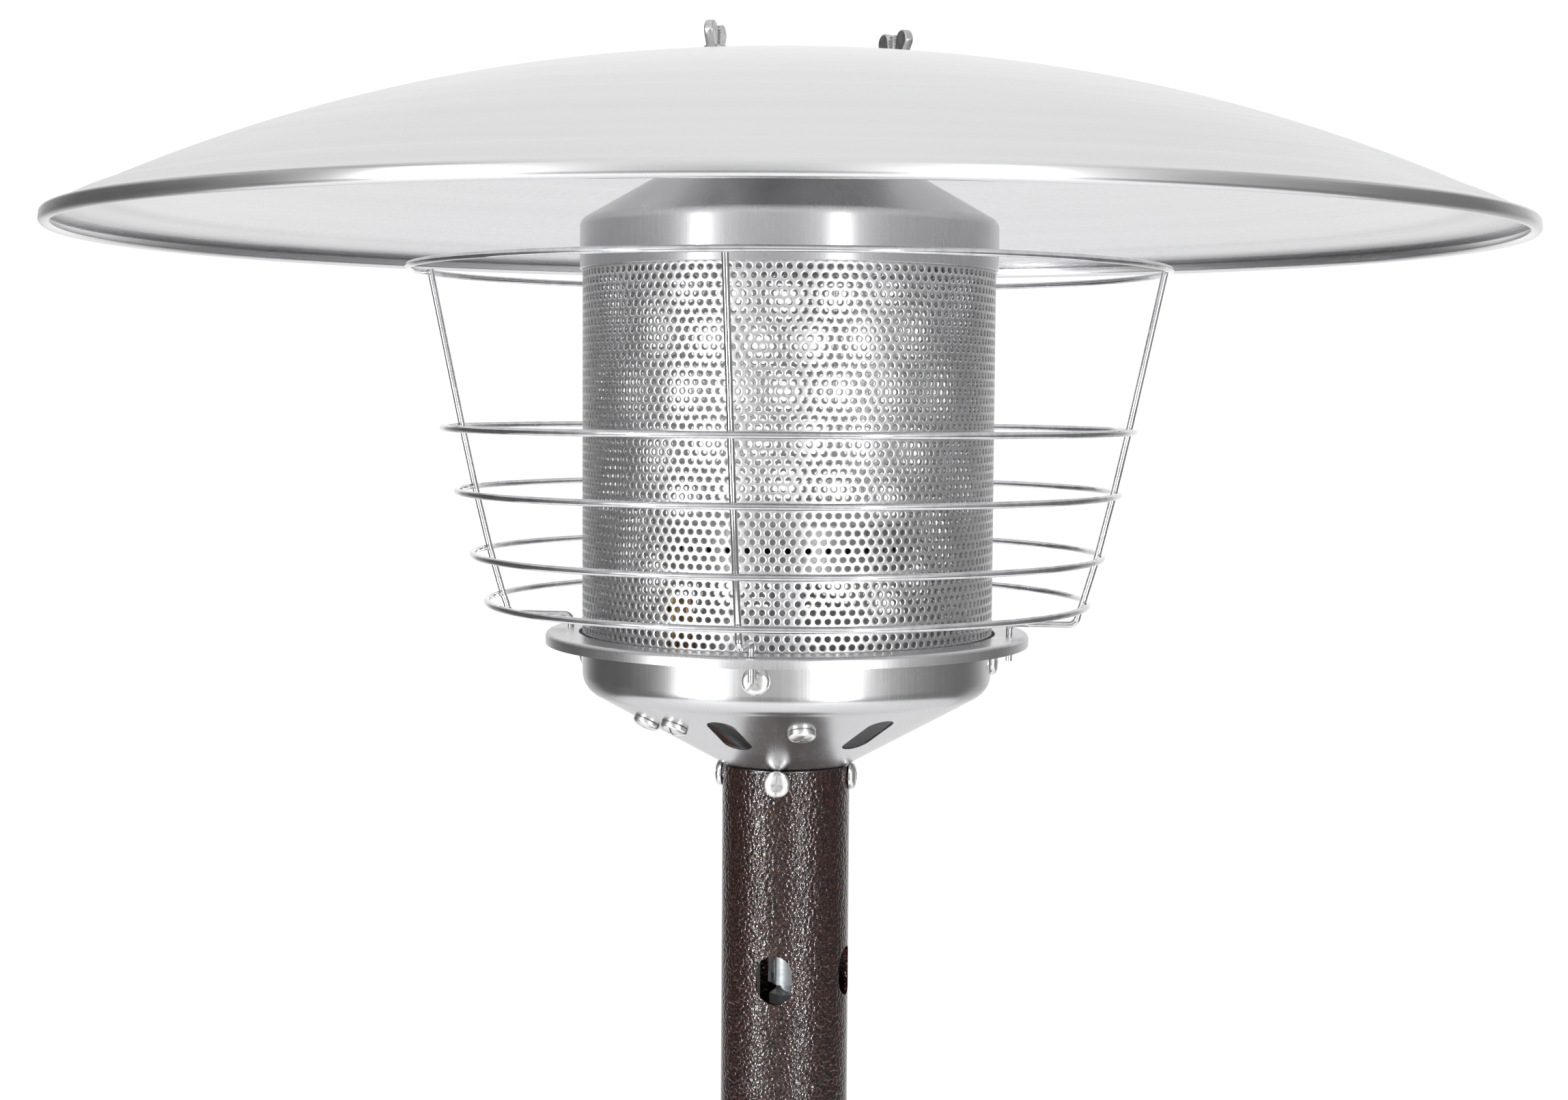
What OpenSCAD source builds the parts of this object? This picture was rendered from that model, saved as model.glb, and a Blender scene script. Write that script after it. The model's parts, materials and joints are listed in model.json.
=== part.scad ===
// Table-top gas patio heater: reflector, perforated emitter head with a wire guard,
// burner bowl, post, and a weighted base drum that holds the gas cylinder.
// Origin: bottom centre, on the table. +Z up, the control knob faces -Y. Millimetres.

/* [Overall] */
// Height of the top cap's lower edge above the table
head_z = 877; // [860:1:900]
// Turn of the guard, bowl screws and post bolts about the axis, in degrees
head_turn = -8; // [-20:1:20]

/* [Reflector] */
// Outside radius of the reflector
rim_r = 266; // [256:1:276]
// Height of the reflector's lower rim above the cap's lower edge
rim_rise = 10.3; // [6:0.1:16]
// Height of the rolled band round the rim
band_h = 5.5; // [5:0.1:8]
// Radius where the brim meets the crown
crown_r = 247; // [240:1:250]
// Height gained across the brim
brim_h = 7.1; // [5:0.1:9]
// Height of the crown above the brim
crown_h = 52.6; // [40:0.1:60]
// Power of the crown's curve, 2 for a parabola
crown_power = 2.2; // [2:0.01:2.6]
// Thickness of the reflector's sheet
reflector_t = 1; // [0.8:0.1:1.4]
// Radius of the circle of reflector studs
stud_ring_r = 39.3; // [34:0.1:42]
// Turn of the studs about the axis, in degrees
stud_turn = -43.5; // [-60:0.5:60]

/* [Emitter head] */
// Outside radius of the cap's skirt
cap_r = 77.6; // [77.5:0.1:78]
// Height of the cap's skirt up to its shoulder
cap_skirt_h = 18; // [14:1:24]
// Radius of the cap's flat top
cap_top_r = 47; // [45:1:52]
// Outside radius of the perforated screen
screen_r = 76.6; // [76:0.1:76.7]
// Sheet thickness of the cap, bowl, flange and screen
sheet_t = 0.8; // [0.6:0.1:0.8]
// Depth of the flange's top face below the cap's lower edge
flange_drop = 133.9; // [130:0.1:138]
// Outside radius of the flange
flange_r = 90.3; // [88:0.1:94]

/* [Guard] */
// Diameter of the guard's wire
wire_d = 2.4; // [2:0.1:3]
// Radius of each hoop, from the top one down
hoop_r = [140, 127.8, 122.7, 117, 111.8];
// Drop of each hoop below the cap's lower edge
hoop_drop = [0, 58.4, 81.5, 104.8, 122.4];
// Distance from a hoop's centre line in to the uprights' centre line
weld_step = 2; // [1.6:0.1:2.4]

/* [Bowl and post] */
// Outside radius of the bowl's cylinder
bowl_r = 76.5; // [76.5:0.1:77]
// Slope of the bowl's cone and of the cap's cone, rise over run
cone_slope = 0.5555; // [0.5:0.01:0.6]
// Outside radius of the post
post_r = 24; // [23.9:0.1:24.1]
// Wall of the post
post_t = 1.2; // [1:0.1:1.5]
// Depth of the air holes' centres below the cap's lower edge
air_hole_drop = 261.8; // [250:1:270]

/* [Base] */
// Outside radius of the base plate
base_r = 130; // [125:1:140]
// Outside radius of the cylinder housing
drum_r = 80; // [80:1:84]
// Height of the housing's shoulder
drum_top = 284; // [284:1:290]
// Half the angle that the rear door covers, in degrees
door_half = 48; // [44:1:48]
// Height of the control knob's axis
knob_z = 250; // [249:1:251]

/* [Hidden] */
$fn = 64;

steel = "silver";
bronze = [0.22, 0.13, 0.11];
bolt_steel = "gainsboro";

cone_angle = atan(cone_slope);
rim_z = head_z + rim_rise;
ridge_r = rim_r - 2;
ridge_z = rim_z + band_h;
brim_z = ridge_z + brim_h;
cap_top_z = head_z + cap_skirt_h + (cap_r - cap_top_r) * cone_slope;
flange_z = head_z - flange_drop;
ledge_z = flange_z - 3.4;
bowl_top_z = ledge_z - sheet_t;
shoulder_z = head_z - 154.3;
cone_end_r = post_r + 0.4;
cone_end_z = shoulder_z - (bowl_r - cone_end_r) * cone_slope;
post_top_z = cone_end_z - 0.9;
post_in_r = post_r - post_t;
post_bottom_z = drum_top + 28;
air_hole_z = head_z - air_hole_drop;
pan_head_r = 5;
pan_head_h = 2.8;
valve_z = 238;
valve_top_z = 264;
bracket_top_z = valve_top_z + 1.5;
fitting_top_z = 278;
igniter_turn = 40;
igniter_in = 42;

// ---- helpers ----

// Points of an arc in a plane
function arc(c, r, a0, a1, n) =
    [for (i = [0:n]) let (a = a0 + (a1 - a0) * i / n) [c[0] + r * cos(a), c[1] + r * sin(a)]];

// Unit normal of a segment, to the right of its direction
function seg_normal(a, b) = let (d = (b - a) / norm(b - a)) [d[1], -d[0]];

// Point i of path p moved sideways by t, with a mitred corner
function beside(p, i, t) =
    let (last = len(p) - 1)
    let (n0 = seg_normal(p[max(i - 1, 0)], p[max(i, 1)]))
    let (n1 = seg_normal(p[min(i, last - 1)], p[min(i + 1, last)]))
    let (m = n0 + n1)
    p[i] + m * (2 * t / (m * m));

// Spun sheet of thickness t to the side of the path p, given as radius and height
module spun_sheet(p, t) {
    side = [for (i = [len(p) - 1:-1:0]) let (q = beside(p, i, t)) [max(q[0], 0), q[1]]];
    rotate_extrude()
        polygon(concat(p, side));
}

// Puts children at a radius and height, turned a degrees from the front (-Y) towards +X
module at(r, a, z) {
    rotate([0, 0, a])
        translate([0, -r, z])
            children();
}

module tube(r, wall, z0, z1) {
    translate([0, 0, z0])
        difference() {
            cylinder(r = r, h = z1 - z0);
            translate([0, 0, -1])
                cylinder(r = r - wall, h = z1 - z0 + 2);
        }
}

// Straight round bar between two points
module bar(a, b, r) {
    d = b - a;
    translate(a)
        rotate([0, acos(d[2] / norm(d)), atan2(d[1], d[0])])
            cylinder(r = r, h = norm(d));
}

function unit(v) = v / norm(v);
function across(v, t) = unit(v - t * (v * t));
function heading(p, i) = unit(p[min(i + 1, len(p) - 1)] - p[max(i - 1, 0)]);

// Heading and sideways direction at each point of p, carried along without twist
function frames(p, i = 0, side = [0.3, 0.9, 0.2]) =
    let (t = heading(p, i), s = across(side, t))
    i == len(p) - 1 ? [[t, s]] : concat([[t, s]], frames(p, i + 1, s));

// Path p with its corners cut, n times over
function eased(p, n) = n == 0 ? p : eased(concat(
    [p[0]],
    [for (i = [0:len(p) - 2], k = [0.25, 0.75]) p[i] + (p[i + 1] - p[i]) * k],
    [p[len(p) - 1]]
), n - 1);

// Bent round wire through the points p
module wire(p, r, sides = 10) {
    f = frames(p);
    last = (len(p) - 1) * sides;
    points = [for (i = [0:len(p) - 1], j = [0:sides - 1])
        let (a = 360 * j / sides)
        p[i] + r * (cos(a) * f[i][1] + sin(a) * cross(f[i][0], f[i][1]))];
    walls = [for (i = [0:len(p) - 2], j = [0:sides - 1], half = [0, 1])
        let (a = i * sides + j, b = i * sides + (j + 1) % sides)
        half == 0 ? [a, a + sides, b + sides] : [a, b + sides, b]];
    ends = [
        [for (j = [0:sides - 1]) j],
        [for (j = [sides - 1:-1:0]) last + j]
    ];
    polyhedron(points, concat(walls, ends));
}

// Pan head with a cross recess, looking along +Z, its seat at 0, and its shank below
module pan_screw(head_r, head_h, shank_r, shank_l) {
    dome_r = (head_r * head_r + head_h * head_h) / (2 * head_h);
    difference() {
        intersection() {
            cylinder(r = head_r, h = head_h);
            translate([0, 0, head_h - dome_r])
                sphere(r = dome_r);
        }
        for (a = [0, 90])
            rotate([0, 0, a])
                translate([-head_r * 0.45, -0.55, head_h - 1.3])
                    cube([head_r * 0.9, 1.1, 2]);
    }
    translate([0, 0, -shank_l])
        cylinder(r = shank_r, h = shank_l);
}

// Screw whose head faces outwards from the axis
module radial_screw(r, a, z, head_r = pan_head_r, head_h = pan_head_h, shank_l = 6) {
    at(r, a, z)
        rotate([90, 0, 0])
            pan_screw(head_r, head_h, 2.4, shank_l);
}

// Six-sided nut with a bore
module hex_nut(across, h, bore_r) {
    difference() {
        cylinder(r = across / sqrt(3), h = h, $fn = 6);
        translate([0, 0, -1])
            cylinder(r = bore_r, h = h + 2);
    }
}

// Slot with round ends along X, w long and h high, cutting d deep along +Y
module slot_cut(w, h, d) {
    translate([-(w - h) / 2, 0, -h / 2])
        cube([w - h, d, h]);
    for (s = [-1, 1])
        translate([s * (w - h) / 2, 0, 0])
            rotate([-90, 0, 0])
                cylinder(r = h / 2, h = d);
}

// ---- reflector ----

function crown_z(r) = brim_z + crown_h * (1 - pow(r / crown_r, crown_power));
crown_steps = 36;
reflector_path = concat(
    arc([rim_r - 2, rim_z + 2], 2, 200, 360, 10),
    arc([ridge_r - 0.2, ridge_z - 2], 2, 20, 68, 4),
    [for (i = [0:crown_steps]) let (r = crown_r * (1 - i / crown_steps)) [r, crown_z(r)]]
);
stud_hole_r = 2.7;
stud_r = 2.4;
stud_seat_z = crown_z(stud_ring_r);

module reflector() {
    color([0.86, 0.86, 0.87])
        difference() {
            spun_sheet(reflector_path, -reflector_t);
            for (i = [0:2])
                at(stud_ring_r, stud_turn + 120 * i, cap_top_z)
                    cylinder(r = stud_hole_r, h = 60);
        }
}

stud_top_z = stud_seat_z + 11;
washer_h = 1.2;

module reflector_studs() {
    color(bolt_steel)
        for (i = [0:2])
            at(stud_ring_r, stud_turn + 120 * i, cap_top_z)
                cylinder(r = stud_r, h = stud_top_z - cap_top_z);
}

spacer_top_z = crown_z(stud_ring_r + 6) - reflector_t - washer_h - 0.1;
washer_seat_z = crown_z(stud_ring_r - 6) + 0.02;

module stud_spacers() {
    color(steel)
        for (i = [0:2])
            at(stud_ring_r, stud_turn + 120 * i, 0)
                tube(5.5, 3, cap_top_z, spacer_top_z);
}

module reflector_washers() {
    color(bolt_steel)
        for (i = [0:2], z = [spacer_top_z, washer_seat_z])
            at(stud_ring_r, stud_turn + 120 * i, 0)
                tube(6, 3.5, z, z + washer_h);
}

wing_nut_z = washer_seat_z + washer_h;
wing_turns = [-59.5, 41.5, 75];

// Wing nut: a tapered hub with two round wings that lean outwards
module wing_nut() {
    difference() {
        union() {
            cylinder(r1 = 4.5, r2 = 4.1, h = 2.6);
            for (s = [-1, 1])
                translate([s * 3.6, 0, 1])
                    rotate([0, s * 24, 0]) {
                        translate([-2.6, -1.4, 0])
                            cube([5.2, 2.8, 7]);
                        translate([0, 1.6, 7])
                            rotate([90, 0, 0])
                                cylinder(r = 3.6, h = 3.2);
                    }
        }
        translate([0, 0, -1])
            cylinder(r = stud_r, h = 20);
    }
}

module wing_nuts() {
    color(bolt_steel)
        for (i = [0:2])
            at(stud_ring_r, stud_turn + 120 * i, wing_nut_z)
                rotate([0, 0, wing_turns[i]])
                    wing_nut();
}

// ---- emitter head ----

shoulder_cap = 4;
cap_path = concat(
    [[cap_r, head_z]],
    arc([cap_r - shoulder_cap, head_z + cap_skirt_h - shoulder_cap * tan(45 - cone_angle / 2)],
        shoulder_cap, 0, 90 - cone_angle, 8),
    arc([cap_top_r, cap_top_z - 4], 4, 90 - cone_angle, 90, 4),
    [[0, cap_top_z]]
);

module top_cap() {
    color([0.5, 0.5, 0.52])
        spun_sheet(cap_path, -sheet_t);
}

module emitter_screen() {
    color([0.72, 0.72, 0.74])
        tube(screen_r, sheet_t, ledge_z, head_z + 14.5);
}

module guard_hoops() {
    color("gainsboro")
        for (i = [0:len(hoop_r) - 1])
            translate([0, 0, head_z - hoop_drop[i]])
                rotate_extrude()
                    translate([hoop_r[i], 0])
                        circle(r = wire_d / 2);
}

hook_r = 83.2;
leg_z = head_z - 129.6;
hook_end_z = head_z - 143.5;

// Centre line of one upright: down inside the hoops, in over the flange, down through it
function upright_point(i) = [0, -(hoop_r[i] - weld_step), head_z - hoop_drop[i]];
foot_r = hoop_r[4] - weld_step;
upright_path = concat(
    [[0, -(hoop_r[0] - weld_step), head_z + wire_d / 2]],
    [for (i = [0:4]) upright_point(i)],
    [for (a = [0:30:90]) [0, -(foot_r - 1.4 - 3.6 * (1 - cos(a))), leg_z + 3.6 * (1 - sin(a))]],
    [for (a = [0:30:90]) [0, -(hook_r + 2.4 * (1 - sin(a))), leg_z - 2.4 * (1 - cos(a))]],
    [[0, -hook_r, hook_end_z]]
);

module guard_uprights() {
    color("gainsboro")
        for (i = [0:3])
            rotate([0, 0, head_turn - 0.5 + 90 * i])
                wire(upright_path, wire_d / 2, 12);
}

collar_in_r = bowl_r - 2 * sheet_t - 0.1;
flange_path = concat(
    [[flange_r, flange_z - 4.2]],
    arc([flange_r - 1.6, flange_z - 1.6], 1.6, 0, 90, 6),
    [[cap_r + 0.2, flange_z],
     [cap_r + 0.2, ledge_z],
     [collar_in_r, ledge_z],
     [collar_in_r, ledge_z - 11.5]]
);

module guard_flange() {
    color(steel)
        difference() {
            spun_sheet(flange_path, -sheet_t);
            for (i = [0:3])
                at(hook_r, head_turn - 0.5 + 90 * i, flange_z - 10)
                    cylinder(r = wire_d / 2 + 0.3, h = 20);
            for (i = [0:3])
                at(collar_in_r + 3, head_turn + 90 * i, bowl_screw_z)
                    rotate([-90, 0, 0])
                        cylinder(r = 2.5, h = 6);
        }
}

// ---- bowl ----

bowl_screw_z = head_z - 143.8;
shoulder_bowl = 9;
bowl_path = concat(
    [[bowl_r, bowl_top_z]],
    arc([bowl_r - shoulder_bowl, shoulder_z + shoulder_bowl * tan(45 - cone_angle / 2)],
        shoulder_bowl, 0, cone_angle - 90, 9),
    [[cone_end_r, cone_end_z],
     [post_in_r - 0.2, cone_end_z - 0.8],
     [post_in_r - 0.2, cone_end_z - 16]]
);
vent_r = 54;
vent_turns = [-22, 32.5, 158, 212.5];
function cone_z(r) = shoulder_z - (bowl_r - r) * cone_slope;

// Turns children so that +Z is square to the cone's outside at radius r
module on_cone(r, a) {
    at(r, a, cone_z(r))
        rotate([180 - cone_angle, 0, 0])
            children();
}

module burner_bowl() {
    color(steel)
        difference() {
            spun_sheet(bowl_path, sheet_t);
            for (a = vent_turns)
                on_cone(vent_r, a)
                    translate([0, 0, -6])
                        rotate([0, 0, 90])
                            rotate([90, 0, 0])
                                slot_cut(27, 10.5, 12, $fn = 48);
            for (i = [0:3])
                at(bowl_r + 3, head_turn + 90 * i, bowl_screw_z)
                    rotate([-90, 0, 0])
                        cylinder(r = 2.5, h = 6);
            for (i = [0:3])
                at(post_r + 3, head_turn + 90 * i, post_bolt_z)
                    rotate([-90, 0, 0])
                        cylinder(r = 2.5, h = 8);
            for (a = concat(bracket_turns, pilot_screw_turns))
                on_cone(cone_screw_r, a)
                    translate([0, 0, -4])
                        cylinder(r = 2.5, h = 8);
        }
}

module bowl_screws() {
    color(bolt_steel)
        for (i = [0:3])
            radial_screw(bowl_r, head_turn + 90 * i, bowl_screw_z);
}

cone_screw_r = 58.4;
bracket_turns = [5.3, 125.3, 245.3];
pilot_screw_turns = [-43.3, -60.1];

module cone_screws() {
    color(bolt_steel)
        for (a = concat(bracket_turns, pilot_screw_turns))
            on_cone(cone_screw_r, a)
                pan_screw(pan_head_r, pan_head_h, 2.4, 6);
}

// ---- burner ----

mixer_r = 6.3;
seam_turn = -33;
seam_w = 0.8;
orifice_r = 3.2;
air_turns = [-62, 62, 152, 208];
drum_z = head_z - 109;
burner_h = 17;
burner_ports = 40;
burner_r = 48;
mixer_end_z = head_z - 268;

// Shallow round burner with ports round its rim and on its top
module burner_drum() {
    color([0.55, 0.5, 0.45])
        difference() {
            translate([0, 0, drum_z])
                cylinder(r = burner_r, h = burner_h);
            translate([0, 0, drum_z + 1])
                cylinder(r = burner_r - 1, h = burner_h - 2);
            translate([0, 0, drum_z - 1])
                cylinder(r = mixer_r - 1, h = 3);
            for (i = [0:burner_ports - 1])
                at(burner_r + 2, 360 * i / burner_ports, drum_z + 8)
                    rotate([-90, 0, 0])
                        cylinder(r = 1.4, h = 4);
        }
}

// Rolled tube with an open seam, air windows at its lower end and an end plate for the orifice
module mixer_tube() {
    color(steel)
        difference() {
            union() {
                tube(mixer_r, 1, mixer_end_z, drum_z);
                tube(mixer_r - 0.5, mixer_r - 0.5 - orifice_r, mixer_end_z, mixer_end_z + 1);
            }
            rotate([0, 0, seam_turn])
                translate([-seam_w / 2, -mixer_r - 1, mixer_end_z - 1])
                    cube([seam_w, 2.4, 40]);
            for (a = air_turns)
                rotate([0, 0, a])
                    translate([-2.5, -mixer_r - 1, mixer_end_z - 1])
                        cube([5, 2.2, 5.5]);
        }
}

bracket_z = head_z - 150;

riser_r = 52.6;
tab_lift = 0.25;

// Hub round the mixer tube with three arms down to the cone's inside
module burner_bracket() {
    riser_z = cone_z(riser_r) + 2;
    color(steel)
        difference() {
            union() {
                translate([0, 0, bracket_z])
                    cylinder(r = 20, h = 1.5);
                for (a = bracket_turns) {
                    rotate([0, 0, a]) {
                        translate([-6, -riser_r - 0.7, bracket_z])
                            cube([12, riser_r - 15, 1.5]);
                        translate([-5.5, -riser_r - 0.6, riser_z])
                            cube([11, 1.5, bracket_z + 1 - riser_z]);
                    }
                    on_cone(cone_screw_r, a)
                        translate([-6, -9, -sheet_t - 1.5 - tab_lift])
                            cube([12, 15, 1.5]);
                }
            }
            translate([0, 0, bracket_z - 1])
                cylinder(r = mixer_r + 0.05, h = 4);
            for (a = bracket_turns)
                on_cone(cone_screw_r, a)
                    translate([0, 0, -5])
                        cylinder(r = 2.5, h = 6);
        }
}

pilot_turn = -51.7;
pilot_r = 51.4;
pilot_z = head_z - 146;
pilot_riser_r = 55.8;

// Small plate on the cone's inside that carries the pilot, the thermocouple and the spark tip
module pilot_bracket() {
    riser_z = cone_z(pilot_riser_r) + 2.4;
    color(steel)
        difference() {
            union() {
                on_cone(cone_screw_r, pilot_turn)
                    translate([-13, -8, -sheet_t - 1.5 - 0.9])
                        cube([26, 13, 1.5]);
                at(pilot_riser_r, pilot_turn, riser_z)
                    translate([-5, 0, 0])
                        cube([10, 1.5, pilot_z + 1 - riser_z]);
                at(pilot_riser_r, pilot_turn, pilot_z)
                    translate([-13, -0.1, 0])
                        cube([26, 9, 1.5]);
            }
            for (a = pilot_screw_turns)
                on_cone(cone_screw_r, a)
                    translate([0, 0, -5])
                        cylinder(r = 2.5, h = 6);
            for (x = [-8, 0, 8])
                at(pilot_r, pilot_turn, pilot_z - 1)
                    translate([x, 0, 0])
                        cylinder(r = 2.6, h = 4);
        }
}

module pilot_part(x) {
    at(pilot_r, pilot_turn, 0)
        translate([x, 0, 0])
            children();
}

module pilot_burner() {
    color("goldenrod")
        pilot_part(0) {
            translate([0, 0, pilot_z - 6])
                cylinder(r = 2.6, h = 24);
            translate([0, 0, pilot_z + 18])
                difference() {
                    cylinder(r = 3.6, h = 9);
                    translate([0, -5, 4])
                        cube([3, 10, 3.4]);
                }
        }
}

module thermocouple() {
    color([0.7, 0.45, 0.3])
        pilot_part(8) {
            translate([0, 0, pilot_z - 6])
                cylinder(r = 2.6, h = 18);
            translate([0, 0, pilot_z + 12])
                cylinder(r = 1.6, h = 16);
        }
}

module igniter_electrode() {
    color("white")
        pilot_part(-8) {
            translate([0, 0, pilot_z - 6])
                cylinder(r = 2.6, h = 26);
            translate([0, 0, pilot_z + 20])
                cylinder(r = 0.8, h = 6);
            bar([0, 0, pilot_z + 26], [4, 0, pilot_z + 29], 0.8);
        }
}

nut_top_z = head_z - 272;
nut_h = 4;
pipe_r = 3;
nut_turn = -51;

module orifice() {
    color("goldenrod")
        difference() {
            union() {
                translate([0, 0, nut_top_z])
                    cylinder(r = orifice_r, h = 8);
                translate([0, 0, nut_top_z + 8])
                    cylinder(r1 = orifice_r, r2 = 1.6, h = 3);
            }
            translate([0, 0, nut_top_z - 1])
                cylinder(r = 0.5, h = 14);
        }
}

module orifice_nut() {
    color(steel)
        translate([0, 0, nut_top_z - nut_h])
            rotate([0, 0, nut_turn])
                hex_nut(10, nut_h, pipe_r);
}

module gas_pipe() {
    color(steel)
        tube(pipe_r, 0.8, fitting_top_z - 8, nut_top_z);
}

// Routes of the small tube and the two leads, from the pilot round the mixer and down the post
lead_r = 17;
lead_steps = 4;
function polar(r, a, z) = [r * sin(a), -r * cos(a), z];
function pilot_base(x, z) = [
    x * cos(pilot_turn) + pilot_r * sin(pilot_turn),
    x * sin(pilot_turn) - pilot_r * cos(pilot_turn),
    z
];
function lead_route(a, x, foot) = concat(
    [pilot_base(x, pilot_z - 6), pilot_base(x, pilot_z - 12)],
    [for (k = [1:lead_steps - 1])
        let (u = k / lead_steps, r = pilot_r + (lead_r - pilot_r) * u, from = pilot_turn + 1.1 * x)
        polar(r, from + (a - from) * u, cone_z(r) + 9)],
    [for (z = [head_z - 182, head_z - 194, post_bottom_z + 6]) polar(lead_r, a, z)],
    foot
);

module pilot_tube() {
    color([0.8, 0.8, 0.82])
        wire(eased(lead_route(-120, 0, [[-13, 9, 296], [-11, 10, 282], [-11, 10, valve_top_z]]), 2), 2);
}

thermocouple_foot = [[-20, 0, 304], [-44, 4, 292], [-48, 4, 280], [-48, 4, bracket_top_z]];

module thermocouple_lead() {
    color([0.75, 0.5, 0.35])
        wire(eased(lead_route(-80, 8, thermocouple_foot), 2), 1.5);
}

igniter_foot = [
    [-9, 16, 302], [10, 18, 290], [29, 4, 284], [30, -14, 278], [26, -25, 262],
    igniter_point(igniter_in - 4), igniter_point(igniter_in)
];

module igniter_lead() {
    color([0.15, 0.15, 0.15])
        wire(eased(lead_route(-140, -8, igniter_foot), 2), 1.6);
}

// ---- post ----

post_bolt_z = head_z - 188.4;
foot_screw_z = drum_top + 43;

module post() {
    color(bronze)
        difference() {
            tube(post_r, post_t, post_bottom_z, post_top_z);
            for (a = [-2, 82, 178, 262])
                rotate([0, 0, head_turn + a])
                    translate([0, -post_r - 2, air_hole_z])
                        rotate([0, 90, 0])
                            slot_cut(18.4, 13.6, 8);
            for (i = [0:3], z = [post_bolt_z, foot_screw_z])
                at(post_r + 3, head_turn + 90 * i, z)
                    rotate([-90, 0, 0])
                        cylinder(r = 2.5, h = 8);
        }
}

module post_bolts() {
    color(bolt_steel)
        for (i = [0:3])
            radial_screw(post_r, head_turn + 90 * i, post_bolt_z, shank_l = 5);
}

// ---- base ----

housing_t = 1.2;
neck_r = post_r + 0.2 + housing_t;
neck_z = drum_top + (drum_r - neck_r) * cone_slope;
housing_bottom_z = 20;
shoulder_drum = 9;
housing_path = concat(
    [[64, housing_bottom_z]],
    [[drum_r, housing_bottom_z]],
    arc([drum_r - shoulder_drum, drum_top - shoulder_drum * tan(45 - cone_angle / 2)],
        shoulder_drum, 0, 90 - cone_angle, 9),
    [[neck_r, neck_z],
     [neck_r, neck_z + 24]]
);
door_z0 = 34;
door_z1 = 214;
hinge_r = drum_r + 2.8;
hinge_turn = 180 + door_half + 1.2;
knuckle_r = 2.4;
pin_r = 1.2;
leaf_t = 1.2;
door_knuckles = [[60, 76], [172, 188]];
housing_knuckles = [[48, 59.6], [76.4, 88], [160, 171.6], [188.4, 200]];
bezel_r = 28;

// Arc-shaped strip of the wall between two angles from the front
module wall_strip(r, t, a0, a1, z0, z1) {
    rotate([0, 0, a0 - 90])
        rotate_extrude(angle = a1 - a0)
            translate([r, z0])
                square([t, z1 - z0]);
}

module knuckle(z, bore_r) {
    at(hinge_r, hinge_turn, z[0])
        difference() {
            cylinder(r = knuckle_r, h = z[1] - z[0]);
            translate([0, 0, -1])
                cylinder(r = bore_r, h = z[1] - z[0] + 2);
        }
}

module cylinder_housing() {
    color(bronze) {
        difference() {
            spun_sheet(housing_path, -housing_t);
            wall_strip(drum_r - 4, 8, 180 - door_half - 0.7, 180 + door_half + 0.7,
                door_z0 - 1, door_z1 + 1);
            for (a = [90, 270], i = [0:4])
                rotate([0, 0, a])
                    translate([0, -drum_r - 3, 70 + 14 * i])
                        slot_cut(28, 5, 8);
            at(drum_r + 4, 0, knob_z)
                rotate([-90, 0, 0])
                    cylinder(r = 24, h = 12);
            at(drum_r + 4, igniter_turn, knob_z)
                rotate([-90, 0, 0])
                    cylinder(r = 9.1, h = 10);
            for (i = [0:3])
                at(70, 45 + 90 * i, 10)
                    cylinder(r = 2.5, h = 20);
            for (s = [90, 270])
                at(drum_r + 3, s, bracket_screw_z)
                    rotate([-90, 0, 0])
                        cylinder(r = 2.5, h = 6);
            for (i = [0:3])
                at(neck_r + 3, head_turn + 90 * i, foot_screw_z)
                    rotate([-90, 0, 0])
                        cylinder(r = 2.5, h = 6);
        }
        for (z = housing_knuckles)
            difference() {
                union() {
                    knuckle(z, pin_r);
                    wall_strip(drum_r - 0.1, leaf_t + 0.1, hinge_turn + 1, hinge_turn + 14, z[0], z[1]);
                }
                at(hinge_r, hinge_turn, z[0] - 1)
                    cylinder(r = pin_r, h = z[1] - z[0] + 2);
            }
    }
}

module post_foot_screws() {
    color(bolt_steel)
        for (i = [0:3])
            radial_screw(neck_r, head_turn + 90 * i, foot_screw_z, head_r = 4.5, shank_l = 5);
}

plate_z = housing_bottom_z;
plate_path = concat(
    [[0, plate_z]],
    arc([base_r - 8, plate_z - 8], 8, 90, 0, 8),
    [[base_r, 7]]
);

module base_plate() {
    color(bronze)
        difference() {
            spun_sheet(plate_path, housing_t);
            translate([0, 0, 10])
                cylinder(r = 4.1, h = 20);
            for (i = [0:3])
                at(70, 45 + 90 * i, 10)
                    cylinder(r = 2.5, h = 20);
        }
}

ballast_top_z = plate_z - housing_t;

module ballast() {
    color([0.25, 0.25, 0.26])
        difference() {
            translate([0, 0, 9])
                cylinder(r = 98, h = ballast_top_z - 9);
            translate([0, 0, 8])
                cylinder(r = 4.1, h = 12);
            for (i = [0:3])
                at(70, 45 + 90 * i, 8)
                    cylinder(r = 6, h = 12);
        }
}

module ballast_bolt() {
    color(bolt_steel) {
        translate([0, 0, 4])
            cylinder(r = 6.5 / cos(30), h = 5, $fn = 6);
        translate([0, 0, 9])
            cylinder(r = 4, h = 17);
        translate([0, 0, plate_z])
            hex_nut(13, 5, 4);
    }
}

module housing_screws() {
    color(bolt_steel)
        for (i = [0:3])
            at(70, 45 + 90 * i, housing_bottom_z + housing_t)
                pan_screw(4.5, pan_head_h, 2.4, 9);
}

foot_ring_r = 112;

module rubber_feet() {
    color([0.1, 0.1, 0.1])
        for (i = [0:3])
            at(foot_ring_r, 45 + 90 * i, 0) {
                cylinder(r = 11, h = 7);
                translate([0, 0, 7])
                    cylinder(r = 8, h = ballast_top_z - 7);
            }
}

// ---- gas ----

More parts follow.
